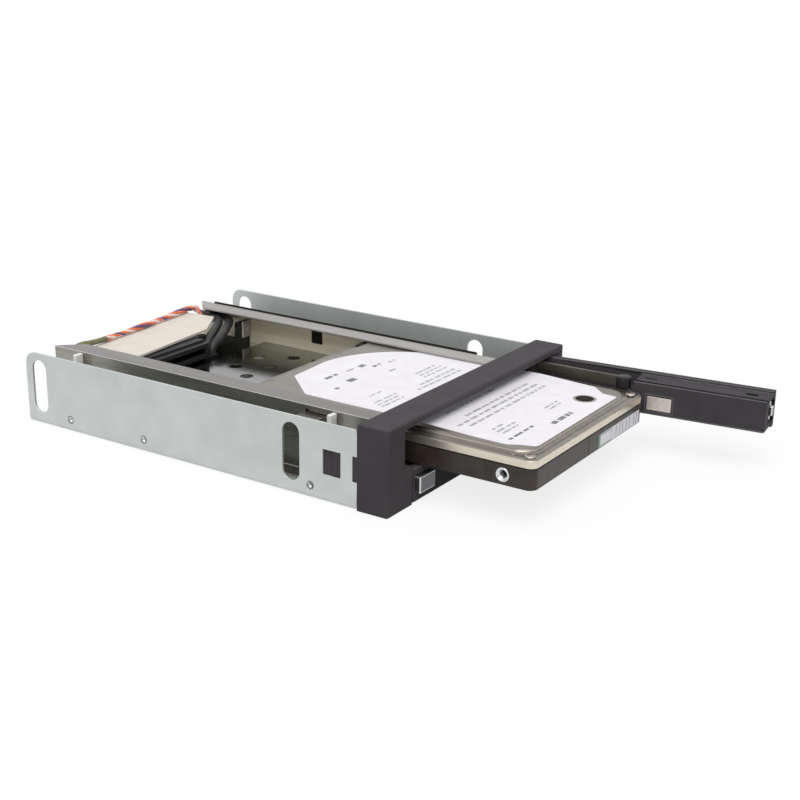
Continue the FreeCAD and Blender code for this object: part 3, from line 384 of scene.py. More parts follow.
# the routes repeat the solids' control points; the bundle's are moved in to the strip's rear edge
wireBundle = {
    "route": ((-24.01, 48.5, 11.94), (-24.01, 53.49, 11.94), (-29.59, 59.11, 12.94), (-31.62, 64.1, 17.11),
              (-29.41, 62.9, 20.15), (-22.98, 60.90, 19.95), (-9.98, 61.70, 19.90), (4.01, 62.90, 19.90),
              (18.01, 64.30, 19.95), (28.60, 65.50, 20.10), (31.90, 65.60, 19.30), (31.90, 63.69, 17.61),
              (31.90, 60.10, 17.61)),
    "strandRadius": 0.5,
    "twistRadius": 0.62,
    "twistLength": 12.0,
    "wander": (0.8, 21.0),  # an uneven twist: radians, and the length over which it comes and goes
    "length": 0.0895,  # m, as is the diameter
    "diameter": 0.0022,
    "colours": ("orangePvc", "violetPvc", "orangePvc", "palePvc"),
    "sleeveRadius": 0.95,
    "sleeveShare": 0.38,
    "tucked": 1.0,
    "every": 2,  # a strand's curve takes every second point of the line
}
blackLeads = {
    "routes": {
        "leadNear": ((8.85, 41.8, 11.0), (8.85, 41.8, 13.64), (14.49, 44.64, 15.63), (21.66, 47.78, 16.42),
                     (30.20, 52.28, 17.61), (30.20, 56.50, 17.61)),
        "leadFar": ((12.35, 41.8, 11.0), (12.35, 41.8, 13.38), (17.47, 42.00, 15.36), (24.31, 44.99, 16.42),
                    (33.70, 50.35, 17.61), (33.70, 56.50, 17.61)),
    },
    "lengths": {"leadNear": 0.0303, "leadFar": 0.0316},  # m, as is the diameter
    "diameter": 0.003,
}


def splineCurve(name, line, radius, sides=4, along=8):
    curve = bpy.data.curves.new(name, "CURVE")
    curve.dimensions = "3D"
    curve.bevel_depth = radius
    curve.bevel_resolution = sides
    curve.use_fill_caps = True
    spline = curve.splines.new("NURBS")
    spline.points.add(len(line) - 1)
    for point, spot in zip(spline.points, line):
        point.co = (*spot, 1.0)
    spline.order_u = 3
    spline.use_endpoint_u = True
    spline.resolution_u = along
    return curve


def readCurve(curve):
    holder = addObject("curveReading", curve)
    made = bakedMesh(holder)
    bpy.data.objects.remove(holder)
    return made


def makeWireBundle():
    route = place(wireBundle["route"])
    line = [vert.co.copy() for vert in readCurve(splineCurve("bundleLine", route, 0.0)).vertices]
    colours = wireBundle["colours"]
    sway, spell = wireBundle["wander"]
    strands = [[] for _ in colours]
    passed = [0.0]
    side = Vector((1, 0, 0))
    for index, spot in enumerate(line):
        ahead = (line[min(index + 1, len(line) - 1)] - line[max(index - 1, 0)]).normalized()
        side = (side - ahead * side.dot(ahead)).normalized()
        other = ahead.cross(side)
        if index:
            passed.append(passed[-1] + (spot - line[index - 1]).length)
        loose = sway * math.sin(2 * math.pi * passed[-1] / (spell * mm))
        for number, strand in enumerate(strands):
            turns = number / len(colours) + passed[-1] / (wireBundle["twistLength"] * mm)
            angle = 2 * math.pi * turns + loose
            out = side * math.cos(angle) + other * math.sin(angle)
            strand.append(spot + out * wireBundle["twistRadius"] * mm)
    # the strands start a little inside the sleeve
    bareFrom = wireBundle["sleeveShare"] * passed[-1] - wireBundle["tucked"] * mm
    bare = sum(1 for length in passed if length < bareFrom)
    bm = bmesh.new()
    for number, strand in enumerate(strands):
        shown = strand[bare::wireBundle["every"]] + strand[-1:]
        tube = readCurve(splineCurve("strand", shown, wireBundle["strandRadius"] * mm, sides=3, along=3))
        tube.polygons.foreach_set("material_index", [number] * len(tube.polygons))
        bm.from_mesh(tube)
    sleeve = splineCurve("sleeveLine", route, wireBundle["sleeveRadius"] * mm, along=10)
    sleeve.bevel_factor_mapping_end = "SPLINE"
    sleeve.bevel_factor_end = wireBundle["sleeveShare"]
    wrap = readCurve(sleeve)
    wrap.polygons.foreach_set("material_index", [len(colours)] * len(wrap.polygons))
    bm.from_mesh(wrap)
    bmesh.ops.remove_doubles(bm, verts=bm.verts, dist=mergeWithin * mm)
    piece = addObject("wireBundle", meshFrom(bm, "wireBundle", "wire"))
    finishPiece(piece, "rack", "wires", *colours, "olivePvc")
    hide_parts("wire_bundle")


def makeBlackLeads():
    for name, spots in blackLeads["routes"].items():
        route = place(spots)
        piece = addObject(name, splineCurve(name, route, blackLeads["diameter"] / 2, sides=5, along=10))
        finishPiece(piece, "rack", "leads", "blackPvc")
        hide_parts("black_leads")


makeWireBundle()
makeBlackLeads()
print("wires and leads laid")


# finish, slot, edge rounding and bend rounding in mm, and the nodes that have them
nodeLooks = (
    ("galvanisedSteel", "tray_steel", 0.1, 1.0, "outer_tray"),
    ("rolledCageSteel", "cage_steel", 0.1, 0.45, "near_cage_side"),
    ("oiledCageSteel", "cage_steel", 0.1, 0.45, "far_cage_side"),
    ("rolledShelfSteel", "cage_steel", 0.05, 0, "mid_plate"),
    ("charcoalAbs", "moulding", 0.25, 0, "front_bezel", "upper_door", "lower_door"),
    ("silverLacquer", "buttons", 0.35, 0, "upper_button", "lower_button"),
    ("stripSteel", "plates", 0.12, 0, "upper_push_plate", "lower_push_plate"),
    ("platedPad", "plates", 0.15, 0, "upper_latch_plate", "lower_latch_plate"),
    ("stripSteel", "fixings", 0.15, 0, "upper_plate_pin", "lower_plate_pin"),
    ("zincPlate", "fixings", 0.15, 0, "hinge_pin"),
    ("solderMask", "board", 0.08, 0, "backplane_board"),
    ("blackNylon", "connectors", 0.2, 0, "upper_drive_socket", "lower_drive_socket", "upper_data_port",
     "lower_data_port", "power_port"),
    ("ivorySheet", "connectors", 0.2, 0, "wire_header"),
    ("blackPvc", "connectors", 0.5, 0, "lead_joint"),
    ("blackNylon", "connectors", 0.3, 0, "lead_plug"),
    ("ivorySheet", "strip", 0.12, 0, "rear_strip"),
    ("coatedCasting", "drive_base", 0.4, 0, "drive_casting"),
    ("stampedCover", "drive_cover", 0.3, 0, "drive_cover"),
    ("solderMask", "drive_circuit", 0.06, 0, "drive_board"),
    ("blackNylon", "drive_plug", 0.12, 0, "drive_connector"),
)
softNodes = {name: row[:4] for row in nodeLooks for name in row[4:]}
longEdge = 30.0  # mm: sheet bends are longer than this
wideFace = 2.5  # mm: and part faces wider than this, so the sheet's own thickness is left out
bendAngle = 60  # degrees: and turn by more than this
edgeAngle = 30  # degrees: every edge that turns by more than this is rounded
flatAngle = 0.5  # degrees: triangles that turn by less are one face
nodeMerge = 0.002  # mm: points of a solid's triangles closer than this are one
# the doors' dark lining of groove and slots, painted shade: its material layer and finish
shadeLayer = 2  # a door's dark groove and slots, which keep their sharp edges
grooveShadeFinish = "blackNylon"
doorArcs = 1.0  # mm: a door's edges shorter than this stay sharp, such as the arcs of its ear
flatWeight = 80  # flat faces keep their own shading right up to the rounded edges
# nodes whose rounded edges get a painted highlight: the finish, and how long an edge has to be
highlightedEdges = {
    "near_cage_side": ("rubbedSteel", longEdge),
    "upper_button": ("rubbedLacquer", 0),
    "lower_button": ("rubbedLacquer", 0),
    "front_bezel": ("rubbedAbs", longEdge),
    "upper_door": ("rubbedAbs", longEdge),
    "lower_door": ("rubbedAbs", longEdge),
}
# pressed into the drive cover's rim, and fading out between two places along it
coverGroove = {"rimTop": 19.35, "within": 0.05, "level": 0.99, "land": 0.75, "wall": 0.2, "depth": 0.32,
               "fadesFrom": -62.0, "fadesTo": -30.0}


def roundEdges(bm, edges, width, highlightFrom=None):
    made = bmesh.ops.bevel(bm, geom=edges, offset=width * mm, offset_type="OFFSET", affect="EDGES",
                           segments=2, profile=0.5, material=-1, clamp_overlap=False)
    for face in made["faces"]:
        longest = max(edge.calc_length() for edge in face.edges)
        face.material_index = 1 if highlightFrom is not None and longest > highlightFrom * mm else 0


def sharpEdges(bm, angle=edgeAngle, shortest=0):
    least = math.radians(angle)
    return [edge for edge in bm.edges if len(edge.link_faces) == 2 and edge.calc_face_angle(0) > least
            and edge.calc_length() > shortest * mm
            and all(face.material_index < shadeLayer for face in edge.link_faces)]


# folds of a sheet
def bentEdges(bm):
    return [edge for edge in sharpEdges(bm, bendAngle, longEdge) if edge.is_convex
            and min(face.calc_area() for face in edge.link_faces) > wideFace * mm * edge.calc_length()]


def pressGroove(bm):
    top, near = coverGroove["rimTop"] * mm, coverGroove["within"] * mm
    flat = [face for face in bm.faces if face.normal.z > coverGroove["level"]
            and abs(face.calc_center_median().z - top) < near]
    for width in (coverGroove["land"], coverGroove["wall"]):
        bmesh.ops.inset_region(bm, faces=flat, thickness=width * mm, use_boundary=True, use_even_offset=True)
    full, none = coverGroove["fadesFrom"] * mm, coverGroove["fadesTo"] * mm
    for vert in {vert for face in flat for vert in face.verts}:
        share = min(max((none - vert.co.y) / (none - full), 0), 1)
        vert.co.z -= coverGroove["depth"] * share * mm


# groove and bead along the door blocks, the frame round each latch plate and the boss over each push
# plate's eye; measured on a closed door, then swung about the hinge
doorTrim = {
    "swung": {"upper": 96.0, "lower": 0.0},
    "run": (-37.4, 2.4),
    "face": -62.6,
    "margin": 0.8,
    "groove": (1.7, 0.5, 0.9),  # from and to behind the face, and its depth
    "slots": (-34.0, -3.3),
    "slotSize": (3.7, 1.4, 2.0),
    "slotMiddle": -67.6,
    "slotOver": 0.04,  # the dark lining is cut a little wider than the slot
    "past": 2.0,
    "sunk": 0.1,
    "lowBead": (0.25, 0.45),
    "beadUnder": 0.02,
    "beadRounding": 0.12,
    "frameGap": 0.35,
    "frameWidth": 0.4,
    "frameProud": 0.3,
    "frameRounding": 0.1,
    "bossRadius": 2.25,
    "bossUnder": 0.05,
    "bossOver": 0.15,
    "bossRounding": 0.4,
    "bossBulge": 0.3,
}


def doorSwing(which):
    hinge = next(joint for joint in frame["joints"] if joint["name"] == which + "_door_hinge")["pos_m"]
    return hinge, Matrix.Rotation(math.radians(doorTrim["swung"][which]), 3, "Z")


# cut before the edges are rounded; the groove and the slots are lined dark inside as painted shade
def grooveDoor(bm, which):
    blank = addObject("doorBlank", meshFrom(bm, "doorBlank"))
    for finish in ("charcoalAbs", "rubbedAbs"):
        blank.data.materials.append(finishes[finish])
    hinge, turn = doorSwing(which)
    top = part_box(which + "_door")[1][2] / mm - doorTrim["margin"]
    first, last = doorTrim["run"]
    back, front, depth = doorTrim["groove"]
    face, past = doorTrim["face"], doorTrim["past"]
    tool = bmesh.new()
    addBox(tool, (first - past, face - back, top - depth), (last + past, face - front, top + past))
    run, wide, sunk = doorTrim["slotSize"]
    over, middle = doorTrim["slotOver"], doorTrim["slotMiddle"]
    for x in doorTrim["slots"]:
        addBox(tool, (x - over, middle - wide / 2 - over, top - sunk - over),
               (x + run + over, middle + wide / 2 + over, top + past))
    bmesh.ops.rotate(tool, verts=tool.verts, cent=hinge, matrix=turn)
    carve(blank, tool, finishes[grooveShadeFinish])
    grooved = bmesh.new()
    grooved.from_mesh(blank.data)
    bmesh.ops.remove_doubles(grooved, verts=grooved.verts, dist=nodeMerge * mm)
    bpy.data.objects.remove(blank)
    return grooved


def softenNode(name):
    finish, slot, edge, bend = softNodes[name]
    highlightFinish, highlightFrom = highlightedEdges.get(name, (None, None))
    isDoor = name.endswith("_door")
    inside = grooveShadeFinish if isDoor else None
    bm = bmesh.new()
    bm.from_mesh(nodes[name].data)
    bmesh.ops.remove_doubles(bm, verts=bm.verts, dist=nodeMerge * mm)
    bmesh.ops.dissolve_limit(bm, angle_limit=math.radians(flatAngle), verts=bm.verts, edges=bm.edges)
    if isDoor:
        bm = grooveDoor(bm, name.split("_")[0])
    if bend:
        roundEdges(bm, bentEdges(bm), bend, highlightFrom)
    roundEdges(bm, sharpEdges(bm, shortest=doorArcs if isDoor else 0), edge, highlightFrom)
    if name == "drive_cover":
        pressGroove(bm)
    piece = addObject(name + ".soft", meshFrom(bm, name + ".soft"))
    even = piece.modifiers.new("evenShading", "WEIGHTED_NORMAL")
    even.keep_sharp = True
    even.weight = flatWeight
    finishPiece(piece, nodes[name]["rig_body"], slot, *[look for look in (finish, highlightFinish, inside) if look])
    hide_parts(name)


for name in softNodes:
    softenNode(name)
print("edges rounded on", len(softNodes), "nodes")

# pan heads with a cross recess; places are the middles of the heads' seats
screwSets = {
    "cage_screws": {"finish": "zincPlate", "slot": "fixings", "body": "rack", "axis": (0, 0, 1),
                    "radius": 2.2, "height": 1.2, "shank": 1.2, "reach": 1.3,
                    "places": ((-39.12, -49.5, 1.3), (-39.12, 48.5, 1.3), (39.12, -49.5, 1.3),
                               (39.12, 48.5, 1.3))},
    "board_screws": {"finish": "zincPlate", "slot": "fixings", "body": "rack", "axis": (0, 1, 0),
                     "radius": 2.2, "height": 1.2, "shank": 1.2, "reach": 2.2,
                     "places": ((-33.33, 45.1, 14.9), (33.33, 45.1, 14.9))},
    "drive_cover_screws": {"finish": "nickelPlate", "slot": "drive_screws", "body": "drive",
                           "axis": (0, 0, 1), "radius": 1.6, "height": 0.5, "shank": 0.9, "reach": 0.4,
                           "places": ((-31.93, -105.7, 19.35), (31.93, -105.7, 19.35),
                                      (-31.93, -11.5, 19.35), (31.93, -11.5, 19.35))},
}
# shares of a head's radius and height
panHead = ((1, 0), (1, 0.3), (0.93, 0.62), (0.74, 0.88), (0.5, 1), (0, 1))
crossRecess = {"length": 0.62, "width": 0.2, "depth": 0.5, "past": 0.2}  # the last in mm


def makeScrews(name):
    look = screwSets[name]
    radius, height, shank, reach = look["radius"], look["height"], look["shank"], look["reach"]
    outline = [(0, -reach), (shank, -reach), (shank, 0)]
    outline += [(wide * radius, tall * height) for wide, tall in panHead]
    arm, half = crossRecess["length"] * radius, crossRecess["width"] * radius / 2
    axis = Vector(look["axis"])
    heads, crosses = bmesh.new(), bmesh.new()
    for spot in look["places"]:
        spinShape(heads, outline, spot, axis, steps=28)
        low = Vector(spot) + axis * height * (1 - crossRecess["depth"])
        high = Vector(spot) + axis * (height + crossRecess["past"])
        for side in (axis.orthogonal().normalized(), axis.cross(axis.orthogonal()).normalized()):
            across = axis.cross(side)
            spread = Vector([abs(c) for c in side * arm + across * half])
            addBox(crosses, low - spread, high + spread)
    closeShapes(heads)
    piece = addObject(name + ".heads", meshFrom(heads, name + ".heads", "turned"))
    carve(piece, crosses, crossing=True)
    finishPiece(piece, look["body"], look["slot"], look["finish"])
    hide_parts(name)


for name in screwSets:
    makeScrews(name)
print("screws turned:", len(screwSets), "sets")

buttonSprings = {
    "lower_button_spring": {"axis": (0, 1, 0), "body": "lower_door"},
    "upper_button_spring": {"axis": (-0.9945, -0.1045, 0), "body": "upper_door"},
}
springCoil = {"radius": 1.25, "wire": 0.22, "length": 2.6, "turns": 4, "steps": 18, "sides": 8}


def makeSpring(name):
    low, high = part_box(name)
    centre = (Vector(low) + Vector(high)) / 2
    axis = Vector(buttonSprings[name]["axis"]).normalized()
    side = Vector((0, 0, 1))
    climb = springCoil["length"] - 2 * springCoil["wire"]
    steps = springCoil["turns"] * springCoil["steps"]
    bm = bmesh.new()
    ring = bmesh.ops.create_circle(bm, segments=springCoil["sides"], radius=springCoil["wire"] * mm)["verts"]
    turn = Matrix((side, axis, side.cross(axis))).transposed().to_4x4()  # section across the wire
    start = centre - axis * climb / 2 * mm + side * springCoil["radius"] * mm
    bmesh.ops.transform(bm, matrix=Matrix.Translation(start) @ turn, verts=ring)
    bmesh.ops.spin(bm, geom=bm.verts[:] + bm.edges[:], cent=centre, axis=axis, dvec=axis * climb / steps * mm,
                   angle=2 * math.pi * springCoil["turns"], steps=steps)
    bmesh.ops.holes_fill(bm, edges=[edge for edge in bm.edges if edge.is_boundary])
    closeShapes(bm)
    piece = addPiece(name + ".coil", bm, buttonSprings[name]["body"], "fixings", "zincPlate", "wire")
    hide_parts(name)


for name in buttonSprings:
    makeSpring(name)
print("springs wound:", len(buttonSprings))

# threads in the tray's side holes, and the machined seats of the drive's side holes
thread = {"pitch": 0.5, "tooth": 0.22, "crest": 0.3, "root": 0.8, "rootIn": 0.03, "under": 0.02}
sideThreads = {"wall": 50.8, "places": (-47.8, 14.4, 45.1), "height": 4.0, "radius": 1.25, "depth": 1.9}
driveSeats = {"wall": 34.925, "places": (-99.3, -22.7), "height": 13.75, "radius": 1.45, "depth": 2.6,
              "throat": (0.05, 0.2), "flare": 0.25, "rim": 2.0, "edge": 0.06, "proud": 0.06}


def threadOutline(radius, depth):
    pitch = thread["pitch"]
    outline = [(radius, -depth)]
    for number in range(int(depth / pitch)):
        outline += [(radius - thread["tooth"], -depth + (number + thread["crest"]) * pitch),
                    (radius - thread["rootIn"], -depth + (number + thread["root"]) * pitch)]
    return outline


def onBothSides(outline, row):
    return [(outline, (side * row["wall"], y, row["height"]), (side, 0, 0))
            for side in (-1, 1) for y in row["places"]]


def makeThreads():
    radius = sideThreads["radius"]
    hole = threadOutline(radius, sideThreads["depth"]) + [(radius, -thread["under"])]
    radius, rim, proud = driveSeats["radius"], driveSeats["rim"], driveSeats["proud"]
    narrowed, down = driveSeats["throat"]
    seat = threadOutline(radius, driveSeats["depth"])
    seat += [(radius - narrowed, -down), (radius + driveSeats["flare"], proud),
             (rim - driveSeats["edge"], proud), (rim, 0.0), (radius, -thread["under"])]
    addTurned("sideThreads", onBothSides(hole, sideThreads), "rack", "tray_steel", "zincPlate", ring=True,
              steps=24)
    addTurned("driveSeats", onBothSides(seat, driveSeats), "drive", "drive_screws", "machinedAluminium",
              ring=True)


makeThreads()
print("threads and seats turned")

# pale caps on the cage's upright tabs, a painted highlight, and dark strips of painted shade
tabHighlightCaps = {"places": (-45.9, 53.8), "across": (-39.4, -36.25), "half": 0.75, "low": 15.5, "high": 20.75,
           "rounding": 0.3}
shadePads = {
    "boxes": (((36.13, 10.4, 12.8), (37.0, 16.9, 19.4)),  # behind the far wall's window
              ((8.4, 43.2, 15.4), (11.9, 45.4, 17.75)),  # in the board's notch
              ((36.1, -49.8, 19.5), (36.9, 60.5, 21.6))),  # along the outside of the far rail
    "rounding": 0.3,
}


def makeCagePads():
    (first, last), half = tabHighlightCaps["across"], tabHighlightCaps["half"]
    caps = [((first, y - half, tabHighlightCaps["low"]), (last, y + half, tabHighlightCaps["high"])) for y in tabHighlightCaps["places"]]
    addBoxes("tabHighlightCaps", caps, "rack", "strip", "highlightWhite", tabHighlightCaps["rounding"])
    addBoxes("shadePads", shadePads["boxes"], "rack", "leads", "foamAndPaintedShade", shadePads["rounding"])


makeCagePads()
print("caps and pads fitted")


def makeDoorTrim(which):
    hinge, turn = doorSwing(which)
    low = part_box(which + "_door")[0][2] / mm + doorTrim["margin"]
    plateLow, plateHigh = [corner[2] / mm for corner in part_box(which + "_latch_plate")]
    plateFirst, plateLast = [corner[0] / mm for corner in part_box("lower_latch_plate")]
    first, last = doorTrim["run"]
    face = doorTrim["face"]
    back = face - doorTrim["sunk"]
    bm = bmesh.new()
    deep, tall = doorTrim["lowBead"]
    addBox(bm, (first, back, low - doorTrim["beadUnder"]), (last, face + deep, low + tall),
           doorTrim["beadRounding"])
    gap, wide, front = doorTrim["frameGap"], doorTrim["frameWidth"], face + doorTrim["frameProud"]
    rounding = doorTrim["frameRounding"]
    for x in (plateFirst - gap - wide, plateLast + gap):
        addBox(bm, (x, back, plateLow - gap - wide), (x + wide, front, plateHigh + gap + wide), rounding)
    for z in (plateLow - gap - wide, plateHigh + gap):
        addBox(bm, (plateFirst - gap, back, z), (plateLast + gap, front, z + wide), rounding)
    bmesh.ops.rotate(bm, verts=bm.verts, cent=hinge, matrix=turn)
    # the bead and the frames take the paler edge tone: a painted highlight
    addPiece(which + "DoorTrim", bm, which + "_door", "moulding", "rubbedAbs")

    eyeLow, eyeHigh = [corner[2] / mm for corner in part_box(which + "_push_plate")]
    pinLow, pinHigh = [Vector(corner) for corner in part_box(which + "_plate_pin")]
    pin = (pinLow + pinHigh) / 2 / mm
    radius, rounding, under = doorTrim["bossRadius"], doorTrim["bossRounding"], doorTrim["bossUnder"]
    bulge = doorTrim["bossBulge"] * rounding
    top = eyeHigh - eyeLow + doorTrim["bossOver"]
    outline = ((0, -under), (radius, -under), (radius, top - rounding), (radius - bulge, top - bulge),
               (radius - rounding, top), (0, top))
    boss = (outline, (pin.x, pin.y, eyeLow), upwards)
    addTurned(which + "DoorBoss", [boss], which + "_door", "moulding", "blackNylon", steps=28)


for which in doorTrim["swung"]:
    makeDoorTrim(which)
print("doors trimmed")

# small parts soldered to the board's rear face: x, z of their middles
boardParts = {
    "face": 45.1,
    "sunk": 0.02,
    "chip": {"at": (2.4, 13.4), "size": (5.0, 3.9), "lifted": 0.12, "thickness": 1.5, "rounding": 0.12},
    "legs": {"count": 4, "pitch": 1.27, "width": 0.42, "inside": 0.1, "reach": 1.0, "thickness": 0.35,
             "rounding": 0.06},
    "capacitors": ((-2.6, 9.2), (-0.4, 9.2), (1.8, 9.2), (4.0, 9.2), (6.6, 15.4), (6.6, 12.6), (-28.4, 6.6),
                   (-26.0, 6.6), (-23.6, 6.6)),
    "capacitorSize": (0.9, 1.7),
    "bodyRounding": 0.05,
    "bodyLower": 0.04,  # than the soldered ends
    "endLength": 0.4,
    "endRounding": 0.08,
    "thickness": 0.75,
}


def makeBoardParts():
    face = boardParts["face"]
    sunk = face - boardParts["sunk"]
    black, tan, tin = bmesh.new(), bmesh.new(), bmesh.new()
    chip, legs = boardParts["chip"], boardParts["legs"]
    x, z = chip["at"]
    wide, tall = [size / 2 for size in chip["size"]]
    addBox(black, (x - wide, face + chip["lifted"], z - tall), (x + wide, face + chip["thickness"], z + tall),
           chip["rounding"])
    half = legs["width"] / 2
    for across in spacedRow(x, legs["count"], legs["pitch"]):
        for side in (-1, 1):
            low, high = sorted((z + side * (tall - legs["inside"]), z + side * (tall + legs["reach"])))
            addBox(tin, (across - half, sunk, low), (across + half, face + legs["thickness"], high),
                   legs["rounding"])
    wide, tall = [size / 2 for size in boardParts["capacitorSize"]]
    end, top = boardParts["endLength"], face + boardParts["thickness"]
    for x, z in boardParts["capacitors"]:
        addBox(tan, (x - wide, face, z - tall + end),
               (x + wide, top - boardParts["bodyLower"], z + tall - end), boardParts["bodyRounding"])
        for low, high in ((z - tall, z - tall + end), (z + tall - end, z + tall)):
            addBox(tin, (x - wide, sunk, low), (x + wide, top, high), boardParts["endRounding"])
    addPiece("chipBody", black, "rack", "board", "blackNylon")
    addPiece("capacitorBodies", tan, "rack", "board", "tanCeramic")
    addPiece("solderedEnds", tin, "rack", "board", "zincPlate")


makeBoardParts()
print("board parts placed")

# pins, tongues and gilt contacts of the connectors; middles in mm
dataPorts = {"heights": (4.35, 14.35), "middle": -12.0, "tongue": 9.6, "thickness": 1.2, "from": 45.9,
             "to": 52.2, "rounding": 0.15}
portContacts = {"count": 7, "width": 0.8, "sunk": 0.05, "proud": 0.08, "short": 0.4}
powerPins = {"middle": 21.52, "height": 6.6, "pitch": 5.08, "count": 4, "radius": 1.05, "from": 45.9,
             "to": 53.4, "tip": ((1, 1.2), (0.75, 0.4), (0.4, 0), (0, 0))}  # share of radius, mm from the end
drivePlug = {"middle": -12.0, "height": 14.15, "half": 0.6, "from": -12.6, "to": -8.9, "contacts": 24,
             "width": 0.8, "proud": 0.07, "sunk": 0.05}
contactPitch = 1.27
contactRounding = 0.03


def makeContacts():
    black, gold = bmesh.new(), bmesh.new()
    middle, start, end = dataPorts["middle"], dataPorts["from"], dataPorts["to"]
    wide, half = dataPorts["tongue"] / 2, dataPorts["thickness"] / 2
    slim, tip = portContacts["width"] / 2, end - portContacts["short"]
    for z in dataPorts["heights"]:
        addBox(black, (middle - wide, start, z - half), (middle + wide, end, z + half), dataPorts["rounding"])
        low, high = z + half - portContacts["sunk"], z + half + portContacts["proud"]
        for x in spacedRow(middle, portContacts["count"], contactPitch):
            addBox(gold, (x - slim, start, low), (x + slim, tip, high), contactRounding)
    radius, reach = powerPins["radius"], powerPins["to"] - powerPins["from"]
    outline = [(0, 0), (radius, 0)] + [(share * radius, reach - back) for share, back in powerPins["tip"]]
    for x in spacedRow(powerPins["middle"], powerPins["count"], powerPins["pitch"]):
        spinShape(gold, outline, (x, powerPins["from"], powerPins["height"]), (0, 1, 0), steps=20)
    closeShapes(gold)
    addPiece("portTongues", black, "rack", "connectors", "blackNylon")
    addPiece("portContacts", gold, "rack", "connectors", "goldFlash")

    slim, start, end = drivePlug["width"] / 2, drivePlug["from"], drivePlug["to"]
    z = drivePlug["height"] - drivePlug["half"]
    low, high = z - drivePlug["proud"], z + drivePlug["sunk"]
    row = spacedRow(drivePlug["middle"], drivePlug["contacts"], contactPitch)
    strips = [((x - slim, start, low), (x + slim, end, high)) for x in row]
    addBoxes("drivePlugContacts", strips, "drive", "drive_plug", "goldFlash", contactRounding)


makeContacts()
print("contacts laid")

# outline read from the photograph, on the crown of the cover
driveLabel = {
    "arcCentre": (0.5, -45.0),
    "arcFrom": (2.9, -13.8),
    "arcTurn": 87.0,
    "arcSteps": 24,
    "corners": ((31.9, -76.0), (29.6, -95.0), (25.2, -99.6), (24.6, -104.6), (-26.2, -104.9), (-27.8, -100.4),
                (-29.6, -97.2), (-29.4, -88.0), (-27.6, -66.0), (-26.8, -28.2), (-14.6, -14.9)),
    "height": 20.25,
    "thickness": 0.06,
    "rounding": 0.8,
    "roundingSteps": 4,
    "holeAt": (17.6, -97.4),
    "holeRadius": 3.5,
    "holeDepth": 0.5,
    "holeSteps": 48,
}


# a flat face made a thin plate
def thicken(bm, thickness):
    raised = bmesh.ops.extrude_face_region(bm, geom=bm.faces[:])
    top = [item for item in raised["geom"] if isinstance(item, bmesh.types.BMVert)]
    bmesh.ops.translate(bm, verts=top, vec=(0, 0, thickness * mm))


def makeLabel():
    bm = bmesh.new()
    z = driveLabel["height"]
    centre, start = place([(*driveLabel["arcCentre"], z), (*driveLabel["arcFrom"], z)])
    bmesh.ops.spin(bm, geom=[bm.verts.new(start)], cent=centre, axis=(0, 0, 1),
                   angle=-math.radians(driveLabel["arcTurn"]), steps=driveLabel["arcSteps"])
    corners = [bm.verts.new(spot) for spot in place([(x, y, z) for x, y in driveLabel["corners"]])]
    face = bm.faces.new(list(bm.verts))
    if face.normal.z < 0:
        face.normal_flip()
    bmesh.ops.bevel(bm, geom=corners, offset=driveLabel["rounding"] * mm, affect="VERTICES",
                    segments=driveLabel["roundingSteps"], profile=0.5, material=-1, clamp_overlap=True)
    thicken(bm, driveLabel["thickness"])
    bmesh.ops.recalc_face_normals(bm, faces=bm.faces)
    piece = addObject("driveLabel", meshFrom(bm, "driveLabel"))
    hole = bmesh.new()
    radius, deep = driveLabel["holeRadius"], driveLabel["holeDepth"]
    outline = ((0, -deep), (radius, -deep), (radius, deep), (0, deep))
    spinShape(hole, outline, (*driveLabel["holeAt"], z), steps=driveLabel["holeSteps"])
    closeShapes(hole)
    carve(piece, hole)
    finishPiece(piece, "drive", "drive_cover", "labelPaper")


# breather port that shows through the label's hole: a rolled rim round a dark filter
breather = {
    "rim": 3.35,
    "filter": 2.75,
    "proud": 0.14,
    "under": 0.05,
    "roll": ((0, 0.4), (0.12, 0.85), (0.3, 1)),  # mm in from the rim, share of proud
    "lip": 0.6,
    "dish": ((1, 0.03), (0.5, 0.02), (0, 0.02)),  # share of the filter's radius, mm
}


def makeBreather():
    spot = (*driveLabel["holeAt"], driveLabel["height"])
    steps = driveLabel["holeSteps"]
    rim, inner, proud, under = breather["rim"], breather["filter"], breather["proud"], breather["under"]
    roll = [(rim, -under)] + [(rim - step, share * proud) for step, share in breather["roll"]]
    roll += [(inner, breather["lip"] * proud), (inner, -under)]
    dish = [(0, -under), (inner, -under)] + [(share * inner, height) for share, height in breather["dish"]]
    addTurned("breatherRim", [(roll, spot, upwards)], "drive", "drive_cover", "nickelPlate", ring=True,
              steps=steps)
    addTurned("breatherFilter", [(dish, spot, upwards)], "drive", "drive_base", "foamAndPaintedShade", steps=steps)


